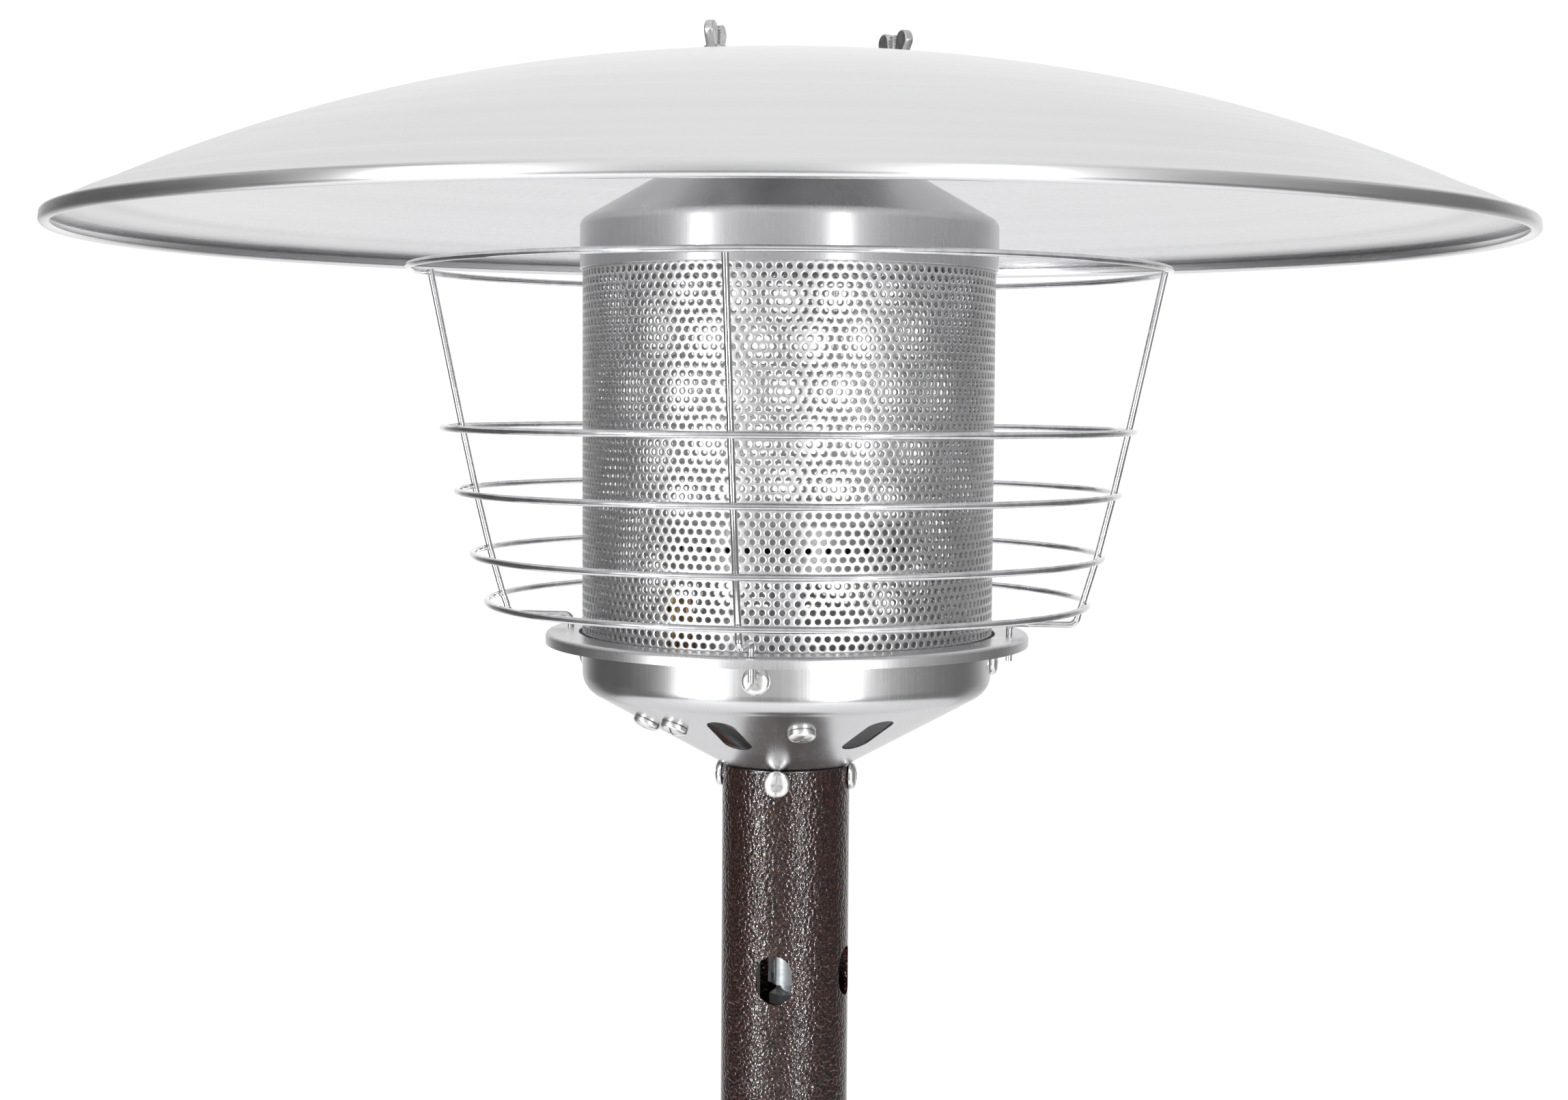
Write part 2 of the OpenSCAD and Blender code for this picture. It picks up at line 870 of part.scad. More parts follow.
cylinder_z = 30;
cylinder_r = 49.5;
cylinder_path = concat(
    [[0, cylinder_z + 4], [30, cylinder_z + 2]],
    arc([cylinder_r - 12, cylinder_z + 12], 12, -90, 0, 6),
    arc([cylinder_r - 34, 168], 34, 0, 70, 10),
    [[17, 206], [16, 210], [16, 219], [12.5, 219], [12.5, 233]]
);
socket_z = 220;

module gas_cylinder() {
    color([0.25, 0.4, 0.32])
        spun_sheet(cylinder_path, -housing_t);
}

// Plug with the poppet, pressed into the neck
module cylinder_valve() {
    color("goldenrod") {
        translate([0, 0, 221])
            cylinder(r = 12.5 - housing_t, h = 11);
        translate([0, 0, 232])
            cylinder(r = 3, h = 1.6);
    }
}

module cylinder_socket() {
    color("goldenrod")
        difference() {
            translate([0, 0, socket_z])
                cylinder(r = 17, h = valve_z - socket_z);
            translate([0, 0, socket_z - 1])
                cylinder(r = 12.55, h = 15);
        }
}

regulator_y = 18;

// Cast body with the regulator's drum behind it and the valve's snout in front
module regulator_valve() {
    color([0.6, 0.6, 0.6])
        difference() {
            union() {
                translate([-16, -44, valve_z])
                    cube([32, 44 + regulator_y, valve_top_z - valve_z]);
                translate([0, regulator_y, knob_z + 1])
                    rotate([-90, 0, 0])
                        cylinder(r = 21, h = 16);
                translate([0, -44, knob_z])
                    rotate([90, 0, 0])
                        cylinder(r = 11, h = 12);
            }
            translate([0, -30, knob_z])
                rotate([90, 0, 0])
                    cylinder(r = 4.06, h = 40);
            translate([0, -48, knob_z])
                rotate([90, 0, 0])
                    cylinder(r = 7.5, h = 20);
        }
}

module pipe_fitting() {
    color("goldenrod")
        translate([0, 0, valve_top_z])
            hex_nut(15, fitting_top_z - valve_top_z, pipe_r);
}

bracket_screw_z = 257;
bracket_x = 76.8;

module valve_bracket() {
    color(steel)
        difference() {
            union() {
                translate([-bracket_x, -14, valve_top_z])
                    cube([2 * bracket_x, 28, 1.5]);
                for (s = [-1, 1])
                    translate([s * bracket_x - (s > 0 ? 1.5 : 0), -14, valve_top_z - 14])
                        cube([1.5, 28, 15]);
            }
            translate([0, 0, valve_top_z - 1])
                cylinder(r = 9.5, h = 4);
            translate([-11, 10, valve_top_z - 1])
                cylinder(r = 2.6, h = 4);
            for (s = [90, 270])
                at(drum_r + 3, s, bracket_screw_z)
                    rotate([-90, 0, 0])
                        cylinder(r = 2.5, h = 10);
        }
}

module bracket_screws() {
    color(bolt_steel)
        for (a = [90, 270])
            radial_screw(drum_r, a, bracket_screw_z, head_r = 4.5, shank_l = 8);
}

module tilt_switch() {
    color([0.2, 0.2, 0.22])
        translate([-48, 4, valve_top_z - 20])
            cylinder(r = 10, h = 20);
}

// ---- controls ----

bezel_y = -84;

// Round dial plate whose back fits the drum
module knob_bezel() {
    color([0.08, 0.08, 0.08])
        difference() {
            translate([0, bezel_y, knob_z])
                rotate([-90, 0, 0]) {
                    cylinder(r = bezel_r, h = 14);
                    cylinder(r = 23.6, h = 20);
                }
            difference() {
                cylinder(r = drum_r, h = 300);
                translate([0, -100, knob_z])
                    rotate([-90, 0, 0])
                        cylinder(r = 23.6, h = 60);
            }
            translate([0, bezel_y - 1, knob_z])
                rotate([-90, 0, 0])
                    cylinder(r = 8, h = 40);
        }
}

collar_y = -57;

module stem_collar() {
    color("goldenrod")
        translate([0, collar_y, knob_z])
            rotate([90, 0, 0])
                difference() {
                    cylinder(r = 7, h = 5);
                    translate([0, 0, -1])
                        cylinder(r = 4.06, h = 8);
                }
}

stem_end_y = -98;

module valve_stem() {
    color(steel)
        translate([0, -36, knob_z])
            rotate([90, 0, 0])
                difference() {
                    union() {
                        cylinder(r = 4, h = -36 - stem_end_y);
                        translate([0, 0, 26.2])
                            cylinder(r = 5.6, h = 4);
                    }
                    translate([2.4, -6, 46])
                        cube([6, 12, 20]);
                }
}

knob_y = bezel_y - 3.6;
knob_h = 21;
knob_r = 21;

// Knob with a skirt, a finger grip across it and a raised pointer line
module control_knob() {
    color([0.06, 0.06, 0.06])
        translate([0, knob_y, knob_z])
            rotate([90, 0, 0])
                difference() {
                    union() {
                        cylinder(r = knob_r, h = 5);
                        translate([0, 0, 5])
                            cylinder(r1 = 18, r2 = 16.5, h = knob_h - 11);
                        intersection() {
                            cylinder(r = 17, h = knob_h);
                            translate([-5, -20, 4])
                                cube([10, 40, knob_h - 4]);
                        }
                    }
                    translate([0, 0, -1])
                        intersection() {
                            cylinder(r = 4, h = -(stem_end_y - knob_y) + 1);
                            translate([-5, -5, 0])
                                cube([7.4, 10, 20]);
                        }
                }
}

function igniter_point(r) = polar(r, igniter_turn, knob_z);

module along_igniter(r) {
    at(r, igniter_turn, knob_z)
        rotate([90, 0, 0])
            children();
}

// Piezo unit pushed through the wall from outside, with a flange outside
module igniter_body() {
    color([0.07, 0.07, 0.07])
        along_igniter(igniter_in)
            difference() {
                union() {
                    cylinder(r = 9, h = drum_r - igniter_in + 2);
                    translate([0, 0, drum_r - igniter_in + 0.2])
                        cylinder(r = 13, h = 3.8);
                }
                translate([0, 0, button_well_r - igniter_in])
                    cylinder(r = 7.1, h = 30);
            }
}

module igniter_nut() {
    color([0.12, 0.12, 0.12])
        along_igniter(drum_r - 8)
            hex_nut(24, 5, 9);
}

button_travel = 6;
button_well_r = 66;

module igniter_button() {
    color([0.75, 0.1, 0.08])
        along_igniter(button_well_r + button_travel + 1) {
            cylinder(r = 6.8, h = 16);
            translate([0, 0, 16])
                cylinder(r1 = 6.8, r2 = 5.6, h = 1.6);
        }
}

// ---- door ----

module cylinder_door() {
    color(bronze)
        difference() {
            union() {
                wall_strip(drum_r - housing_t, housing_t, 180 - door_half, 180 + door_half,
                    door_z0, door_z1);
                for (z = door_knuckles) {
                    knuckle(z, pin_r + 0.06);
                    wall_strip(drum_r - 0.1, leaf_t + 0.1, hinge_turn - 14, hinge_turn - 1, z[0], z[1]);
                }
            }
            for (z = door_knuckles)
                at(hinge_r, hinge_turn, z[0] - 1)
                    cylinder(r = pin_r + 0.06, h = z[1] - z[0] + 2);
            at(drum_r + 4, pull_turn, pull_z)
                rotate([-90, 0, 0])
                    cylinder(r = 2.5, h = 10);
        }
}

module door_hinge_pins() {
    color(bolt_steel)
        for (z = [[46, 90], [158, 202]])
            at(hinge_r, hinge_turn, z[0])
                cylinder(r = pin_r, h = z[1] - z[0]);
}

pull_turn = 180 - door_half + 9;
pull_z = 124;

module door_pull() {
    color([0.1, 0.1, 0.1])
        at(drum_r, pull_turn, pull_z)
            rotate([90, 0, 0]) {
                translate([0, 0, -4])
                    cylinder(r = 2.4, h = 5);
                translate([0, 0, 0.2])
                    cylinder(r1 = 6, r2 = 5, h = 8);
                translate([0, 0, 8.2])
                    cylinder(r1 = 9, r2 = 8, h = 6);
            }
}

magnet_turn = 180 - door_half - 1;

module door_magnet() {
    color([0.85, 0.85, 0.8])
        at(drum_r - housing_t - 0.5, magnet_turn, pull_z - 16)
            translate([-5, 0, 0])
                cube([10, 9, 32]);
}

reflector();
reflector_studs();
stud_spacers();
reflector_washers();
wing_nuts();
top_cap();
emitter_screen();
guard_hoops();
guard_uprights();
guard_flange();
burner_bowl();
bowl_screws();
cone_screws();
burner_drum();
mixer_tube();
burner_bracket();
pilot_bracket();
pilot_burner();
thermocouple();
igniter_electrode();
orifice();
orifice_nut();
gas_pipe();
pilot_tube();
thermocouple_lead();
igniter_lead();
post();
post_bolts();
cylinder_housing();
post_foot_screws();
base_plate();
ballast();
ballast_bolt();
housing_screws();
rubber_feet();
gas_cylinder();
cylinder_valve();
cylinder_socket();
regulator_valve();
pipe_fitting();
valve_bracket();
bracket_screws();
tilt_switch();
knob_bezel();
stem_collar();
valve_stem();
control_knob();
igniter_body();
igniter_nut();
igniter_button();
cylinder_door();
door_hinge_pins();
door_pull();
door_magnet();
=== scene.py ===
import json
import math

import bmesh
import bpy
import numpy as np
from mathutils import Matrix, Vector

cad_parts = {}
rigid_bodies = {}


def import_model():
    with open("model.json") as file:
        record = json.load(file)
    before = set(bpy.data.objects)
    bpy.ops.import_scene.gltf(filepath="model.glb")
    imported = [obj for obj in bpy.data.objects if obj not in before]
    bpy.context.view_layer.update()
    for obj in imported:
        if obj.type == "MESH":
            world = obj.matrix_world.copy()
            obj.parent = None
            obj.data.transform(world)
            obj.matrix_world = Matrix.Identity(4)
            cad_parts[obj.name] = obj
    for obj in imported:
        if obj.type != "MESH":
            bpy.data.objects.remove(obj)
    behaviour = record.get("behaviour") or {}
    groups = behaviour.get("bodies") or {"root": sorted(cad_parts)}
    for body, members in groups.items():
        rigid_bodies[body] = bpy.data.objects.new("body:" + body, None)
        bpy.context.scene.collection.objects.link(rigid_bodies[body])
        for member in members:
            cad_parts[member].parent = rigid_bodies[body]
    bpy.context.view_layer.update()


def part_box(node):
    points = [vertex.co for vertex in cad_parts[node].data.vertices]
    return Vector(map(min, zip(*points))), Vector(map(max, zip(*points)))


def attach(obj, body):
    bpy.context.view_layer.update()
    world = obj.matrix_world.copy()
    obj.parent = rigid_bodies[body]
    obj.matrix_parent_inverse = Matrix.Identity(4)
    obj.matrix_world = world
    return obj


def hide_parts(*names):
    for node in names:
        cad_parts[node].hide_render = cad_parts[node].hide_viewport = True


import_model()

MM = 0.001
ROOT = "frame"


def low(node, axis=2):
    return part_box(node)[0][axis] / MM


def high(node, axis=2):
    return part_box(node)[1][axis] / MM


# ---------------------------------------------------------------- sizes, in millimetres, from the frame
LIP = low("top_cap")
CAP_R = high("top_cap", 0)
SCREEN_R = high("emitter_screen", 0)
SCREEN_BOTTOM = low("emitter_screen")
SCREEN_TOP = high("emitter_screen")
RIM_R = high("reflector", 0)
RIM_Z = low("reflector")
CROWN_TOP = high("reflector")
BOWL_R = high("burner_bowl", 0)
BOWL_TOP = high("burner_bowl")
FLANGE_R = high("guard_flange", 0)
FLANGE_Z = high("guard_flange")
POST_R = high("post", 0)
POST_TOP = high("post")
POST_BOTTOM = low("post")
HEAD_TURN = -8.0                     # the head's features, as turned from straight in front
SHEET = 0.8
POST_WALL = 1.2
SLOPE = 0.5555                       # of the cap's and the bowl's cones
CONE = math.degrees(math.atan(SLOPE))


# ---------------------------------------------------------------- mesh helpers
def rad(a):
    return math.radians(a)


def arc(c, r, a0, a1, n):
    """Points of an arc in the plane of radius and height."""
    out = []
    for i in range(n + 1):
        a = rad(a0 + (a1 - a0) * i / n)
        out.append((c[0] + r * math.cos(a), c[1] + r * math.sin(a)))
    return out


def beside(path, t):
    """The path moved sideways by t, with mitred corners."""
    def normal(a, b):
        d = (b[0] - a[0], b[1] - a[1])
        n = math.hypot(*d)
        return (d[1] / n, -d[0] / n)
    out = []
    last = len(path) - 1
    for i, p in enumerate(path):
        n0 = normal(path[max(i - 1, 0)], path[max(i, 1)])
        n1 = normal(path[min(i, last - 1)], path[min(i + 1, last)])
        m = (n0[0] + n1[0], n0[1] + n1[1])
        k = 2 * t / (m[0] ** 2 + m[1] ** 2)
        out.append((max(p[0] + m[0] * k, 0.0), p[1] + m[1] * k))
    return out


def outline(path, t):
    """Closed outline of a sheet of thickness t beside the path."""
    return list(path) + list(reversed(beside(path, t)))


def polar(r, a, z):
    """Point at radius r, turned a degrees from the front (-Y) towards +X."""
    return Vector((r * math.sin(rad(a)), -r * math.cos(rad(a)), z))


def make(name, verts, faces, material, replaces, sharp=35, clean=True):
    """A visible piece of the fixed body, in millimetres, which stands in for the CAD nodes in replaces."""
    mesh = bpy.data.meshes.new(name)
    mesh.from_pydata([tuple(c * MM for c in v) for v in verts], [], [tuple(f) for f in faces])
    mesh.validate()
    if clean:
        bm = bmesh.new()
        bm.from_mesh(mesh)
        bmesh.ops.recalc_face_normals(bm, faces=bm.faces)
        bm.to_mesh(mesh)
        bm.free()
    mesh.shade_smooth()
    if sharp is not None:
        mesh.set_sharp_from_angle(angle=rad(sharp))
    mesh.materials.append(material)
    obj = bpy.data.objects.new(name, mesh)
    bpy.context.scene.collection.objects.link(obj)
    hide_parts(*replaces)
    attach(obj, ROOT)


def lathe(loop, segs=256, closed=True):
    """Vertices and faces of an outline of radii and heights turned about the axis."""
    verts, faces, rings = [], [], []
    for r, z in loop:
        if r < 1e-6:
            rings.append([len(verts)] * segs)
            verts.append((0.0, 0.0, z))
            continue
        rings.append(list(range(len(verts), len(verts) + segs)))
        for k in range(segs):
            a = 2 * math.pi * k / segs
            verts.append((r * math.sin(a), -r * math.cos(a), z))
    pairs = list(zip(rings, rings[1:] + (rings[:1] if closed else [])))
    for low_ring, high_ring in pairs:
        if low_ring[0] == low_ring[1] and high_ring[0] == high_ring[1]:
            continue
        for k in range(segs):
            j = (k + 1) % segs
            face = [low_ring[k], low_ring[j], high_ring[j], high_ring[k]]
            face = [v for i, v in enumerate(face) if v != face[i - 1]]
            faces.append(face)
    return verts, faces


def joined(parts):
    """Several (vertices, faces) put into one."""
    verts, faces = [], []
    for v, f in parts:
        n = len(verts)
        verts += list(v)
        faces += [[i + n for i in face] for face in f]
    return verts, faces


def moved(part, matrix):
    verts, faces = part
    return [tuple(matrix @ Vector(v)) for v in verts], faces


def from_bmesh(bm):
    """Vertices and faces of a bmesh, which is freed."""
    bm.verts.ensure_lookup_table()
    verts = [tuple(v.co) for v in bm.verts]
    faces = [[v.index for v in f.verts] for f in bm.faces]
    bm.free()
    return verts, faces


def box_part(size, centre):
    bm = bmesh.new()
    bmesh.ops.create_cube(bm, size=1.0)
    for v in bm.verts:
        v.co = Vector(v.co[i] * size[i] + centre[i] for i in range(3))
    bm.verts.index_update()
    return from_bmesh(bm)


def cut(part, *cutters):
    """The part with closed cutters taken away from it."""
    def temp(p):
        mesh = bpy.data.meshes.new("temp")
        mesh.from_pydata([tuple(v) for v in p[0]], [], [tuple(f) for f in p[1]])
        bm = bmesh.new()
        bm.from_mesh(mesh)
        bmesh.ops.recalc_face_normals(bm, faces=bm.faces)
        bm.to_mesh(mesh)
        bm.free()
        o = bpy.data.objects.new("temp", mesh)
        bpy.context.scene.collection.objects.link(o)
        return o
    whole = temp(part)
    tools = [temp(c) for c in cutters]
    group = bpy.data.collections.new("temp")
    for t in tools:
        group.objects.link(t)
    mod = whole.modifiers.new("cut", "BOOLEAN")
    mod.operand_type = "COLLECTION"
    mod.collection = group
    mod.operation = "DIFFERENCE"
    mod.solver = "EXACT"
    bpy.context.view_layer.update()
    done = bpy.data.meshes.new_from_object(whole.evaluated_get(bpy.context.evaluated_depsgraph_get()))
    verts = [tuple(v.co) for v in done.vertices]
    faces = [list(p.vertices) for p in done.polygons]
    for o in [whole] + tools:
        mesh = o.data
        bpy.data.objects.remove(o)
        bpy.data.meshes.remove(mesh)
    bpy.data.collections.remove(group)
    bpy.data.meshes.remove(done)
    return verts, faces


def sweep(points, radius, sides, closed=False):
    """A round wire through the points, without twist."""
    pts = [Vector(p) for p in points]
    n = len(pts)
    verts, faces = [], []
    side = None
    for i, p in enumerate(pts):
        a = pts[(i - 1) % n] if closed or i else pts[0]
        b = pts[(i + 1) % n] if closed or i < n - 1 else pts[-1]
        t = (b - a).normalized()
        if side is None:
            side = t.orthogonal()
        side = (side - t * side.dot(t)).normalized()
        up = t.cross(side)
        for k in range(sides):
            c = 2 * math.pi * k / sides
            verts.append(tuple(p + side * (radius * math.cos(c)) + up * (radius * math.sin(c))))
    for i in range(n if closed else n - 1):
        j = (i + 1) % n
        for k in range(sides):
            m = (k + 1) % sides
            faces.append([i * sides + k, i * sides + m, j * sides + m, j * sides + k])
    if not closed:
        faces.append(list(range(sides))[::-1])
        faces.append([(n - 1) * sides + k for k in range(sides)])
    return verts, faces


def prism(shape, depth):
    """A plane outline in X and Z, drawn out along +Y from 0 to depth."""
    n = len(shape)
    verts = [(x, 0.0, z) for x, z in shape] + [(x, depth, z) for x, z in shape]
    faces = [[i, (i + 1) % n, n + (i + 1) % n, n + i] for i in range(n)]
    faces += [list(range(n))[::-1], list(range(n, 2 * n))]
    return verts, faces


def slot_shape(w, h, n):
    """Outline of a slot with round ends, w long and h high."""
    out = []
    for s, a0 in ((1, -90), (-1, 90)):
        for i in range(n + 1):
            a = rad(a0 + 180 * i / n)
            out.append((s * (w - h) / 2 + h / 2 * math.cos(a), h / 2 * math.sin(a)))
    return out


# ---------------------------------------------------------------- material helpers
def fill_ramp(els, stops):
    """Set a ramp's stops, given as rising positions with a colour each."""
    els[0].position, els[0].color = stops[0][0], (*stops[0][1], 1)
    els[-1].position, els[-1].color = stops[-1][0], (*stops[-1][1], 1)
    for pos, col in stops[1:-1]:
        els.new(pos).color = (*col, 1)


class Mat:
    """A Principled material with short names for the nodes that it needs."""

    def __init__(self, name, colour, metallic=0.0, rough=0.4, **sockets):
        self.m = bpy.data.materials.new(name)
        self.m.use_nodes = True
        self.t = self.m.node_tree
        self.b = self.t.nodes["Principled BSDF"]
        self.b.inputs["Base Color"].default_value = (*colour, 1)
        self.b.inputs["Metallic"].default_value = metallic
        self.b.inputs["Roughness"].default_value = rough
        for key, value in sockets.items():
            self.b.inputs[key.replace("_", " ")].default_value = value
        self._xyz = None

    def link(self, value, socket):
        if isinstance(value, bpy.types.NodeSocket):
            self.t.links.new(value, socket)
        elif isinstance(value, (tuple, list)) and len(value) == 3 and socket.type == "RGBA":
            socket.default_value = (*value, 1)
        else:
            socket.default_value = value

    def math(self, op, a, b=0.0, clamp=False):
        n = self.t.nodes.new("ShaderNodeMath")
        n.operation = op
        n.use_clamp = clamp
        self.link(a, n.inputs[0])
        self.link(b, n.inputs[1])
        return n.outputs[0]

    def vec(self, x, y, z):
        n = self.t.nodes.new("ShaderNodeCombineXYZ")
        for i, v in enumerate((x, y, z)):
            self.link(v, n.inputs[i])
        return n.outputs[0]

    def place(self):
        """Object coordinates in metres: co, x, y, z, the radius r, and the turn's cosine c and sine s."""
        if self._xyz is None:
            tc = self.t.nodes.new("ShaderNodeTexCoord")
            sep = self.t.nodes.new("ShaderNodeSeparateXYZ")
            self.t.links.new(tc.outputs["Object"], sep.inputs[0])
            r = self.math("SQRT", self.math("ADD", self.math("MULTIPLY", sep.outputs[0], sep.outputs[0]),
                                            self.math("MULTIPLY", sep.outputs[1], sep.outputs[1])))
            safe = self.math("MAXIMUM", r, 1e-5)
            self._xyz = {
                "co": tc.outputs["Object"], "x": sep.outputs[0], "y": sep.outputs[1], "z": sep.outputs[2],
                "r": r,
                "c": self.math("DIVIDE", sep.outputs[0], safe),
                "s": self.math("DIVIDE", sep.outputs[1], safe),
            }
        return self._xyz

    def round_about(self, around, out, up):
        """Coordinates round the axis: spread by around, along the radius by out and along Z by up."""
        p = self.place()
        u = self.vec(self.math("MULTIPLY", p["c"], around), self.math("MULTIPLY", p["s"], around), 0.0)
        v = self.vec(0.0, self.math("MULTIPLY", p["r"], out), self.math("MULTIPLY", p["z"], up))
        n = self.t.nodes.new("ShaderNodeVectorMath")
        n.operation = "ADD"
        self.t.links.new(u, n.inputs[0])
        self.t.links.new(v, n.inputs[1])
        return n.outputs[0]

    def noise(self, vector, scale, detail, rough):
        n = self.t.nodes.new("ShaderNodeTexNoise")
        self.link(vector, n.inputs["Vector"])
        n.inputs["Scale"].default_value = scale
        n.inputs["Detail"].default_value = detail
        n.inputs["Roughness"].default_value = rough
        return n.outputs["Fac"]

    def cells(self, vector, scale, smooth):
        """Distance from the middle of the nearest cell, with the borders smoothed."""
        n = self.t.nodes.new("ShaderNodeTexVoronoi")
        n.feature = "SMOOTH_F1"
        self.link(vector, n.inputs["Vector"])
        n.inputs["Scale"].default_value = scale
        n.inputs["Smoothness"].default_value = smooth
        return n.outputs["Distance"]

    def ramp(self, fac, stops):
        n = self.t.nodes.new("ShaderNodeValToRGB")
        fill_ramp(n.color_ramp.elements, stops)
        self.link(fac, n.inputs["Fac"])
        return n.outputs["Color"]

    def span(self, value, lo, hi, to_lo=0.0, to_hi=1.0):
        """The value's range from lo to hi stretched to another, and held at its ends."""
        n = self.t.nodes.new("ShaderNodeMapRange")
        self.link(value, n.inputs["Value"])
        for key, v in (("From Min", lo), ("From Max", hi), ("To Min", to_lo), ("To Max", to_hi)):
            n.inputs[key].default_value = v
        return n.outputs["Result"]

    def mix(self, fac, a, b):
        n = self.t.nodes.new("ShaderNodeMix")
        n.data_type = "RGBA"
        self.link(fac, n.inputs[0])
        self.link(a, n.inputs[6])
        self.link(b, n.inputs[7])
        return n.outputs[2]

    def bump(self, height, strength, distance, normal=None):
        n = self.t.nodes.new("ShaderNodeBump")
        n.inputs["Strength"].default_value = strength
        n.inputs["Distance"].default_value = distance
        self.link(height, n.inputs["Height"])
        if normal is not None:
            self.link(normal, n.inputs["Normal"])
        return n.outputs[0]

    def spun_grain(self):
        """A tangent that runs round the axis, for anisotropic highlights."""
        n = self.t.nodes.new("ShaderNodeTangent")
        n.direction_type = "RADIAL"
        n.axis = "Z"
        self.t.links.new(n.outputs[0], self.b.inputs["Tangent"])

    def set(self, colour=None, rough=None, normal=None):
        for value, key in ((colour, "Base Color"), (rough, "Roughness"), (normal, "Normal")):
            if value is not None:
                self.link(value, self.b.inputs[key])
        return self.m


def brushed(name, shade, rough, around, out, up, aniso=0.0, turn=0.0, fine=0.10):
    """Sheet steel with fine brush lines. around, out and up set how fine the grain is each way."""
    mottle = 0.05
    m = Mat(name, (shade, shade, shade * 1.01), metallic=1.0, rough=rough,
            Anisotropic=aniso, Anisotropic_Rotation=turn)
    m.spun_grain()
    grain = m.noise(m.round_about(around, out, up), 1.0, 3.0, 0.6)
    wide = m.noise(m.round_about(around * 0.2, out * 0.5, up * 0.7), 1.0, 3.0, 0.55)
    cloud = m.noise(m.place()["co"], 38.0, 4.0, 0.6)
    tone = m.math("ADD", m.math("MULTIPLY", grain, fine), m.math("MULTIPLY", wide, fine * 0.7))
    tone = m.math("ADD", tone, m.math("MULTIPLY", cloud, mottle))
    tone = m.span(tone, 0.0, fine * 1.7 + mottle, shade * 0.86, shade * 1.12)
    colour = m.vec(tone, tone, m.math("MULTIPLY", tone, 1.012))
    r = m.math("ADD", m.span(grain, 0.3, 0.7, rough * 0.88, rough * 1.12),
               m.span(cloud, 0.35, 0.75, -0.03, 0.05), clamp=True)
    return m.set(colour, r, m.bump(grain, 0.12, 0.00002))


# ---------------------------------------------------------------- materials
# the screen's perforations, which its material needs as well as its mesh
PITCH_N = 138                        # holes in a row
ROWS = 46
ROW_H = 3.5 * math.sqrt(3) / 2       # rows of a 3.5 mm triangular pitch
ROWS_FROM = LIP - 132.3              # height of the lowest row
HOLE_R = 1.13


def dome_metal():
    """Spun aluminium with fine lines round the axis."""
    m = Mat("spun_aluminium", (0.78, 0.78, 0.79), metallic=1.0, rough=0.24,
            Anisotropic=0.55, Anisotropic_Rotation=0.25)
    m.spun_grain()
    lines = m.noise(m.round_about(0.35, 620.0, 0.0), 1.0, 3.0, 0.65)
    broad = m.noise(m.round_about(0.25, 90.0, 0.0), 1.0, 2.0, 0.6)
    haze = m.noise(m.place()["co"], 9.0, 5.0, 0.6)
    tone = m.math("ADD", m.math("MULTIPLY", lines, 0.10), m.math("MULTIPLY", broad, 0.08))
    tone = m.math("ADD", m.math("ADD", tone, m.math("MULTIPLY", haze, 0.06)), 0.66)
    colour = m.vec(tone, tone, m.math("MULTIPLY", tone, 1.01))
    rough = m.math("ADD", m.span(lines, 0.3, 0.7, 0.20, 0.30), m.span(haze, 0.35, 0.75, -0.02, 0.05))
    return m.set(colour, rough, m.bump(m.math("ADD", lines, m.math("MULTIPLY", broad, 1.6)), 0.10, 0.00006))


def chrome_wire():
    m = Mat("bright_wire", (0.72, 0.72, 0.73), metallic=1.0, rough=0.05)
    pull = m.noise(m.place()["co"], 900.0, 3.0, 0.6)
    spot = m.noise(m.place()["co"], 160.0, 4.0, 0.65)
    colour = m.mix(m.span(spot, 0.45, 0.72), (0.74, 0.74, 0.75), (0.55, 0.55, 0.56))
    return m.set(colour, m.span(spot, 0.35, 0.75, 0.03, 0.12), m.bump(pull, 0.12, 0.00005))


def plated(name, shade, rough):
    m = Mat(name, (shade, shade, shade), metallic=1.0, rough=rough)
    cloud = m.noise(m.place()["co"], 420.0, 4.0, 0.6)
    scuff = m.noise(m.place()["co"], 1500.0, 2.0, 0.6)
    worn = (shade * 0.78, shade * 0.77, shade * 0.75)
    colour = m.mix(m.span(cloud, 0.4, 0.75), (shade, shade, shade), worn)
    return m.set(colour, m.span(cloud, 0.3, 0.8, rough * 0.7, rough * 1.9), m.bump(scuff, 0.15, 0.00003))


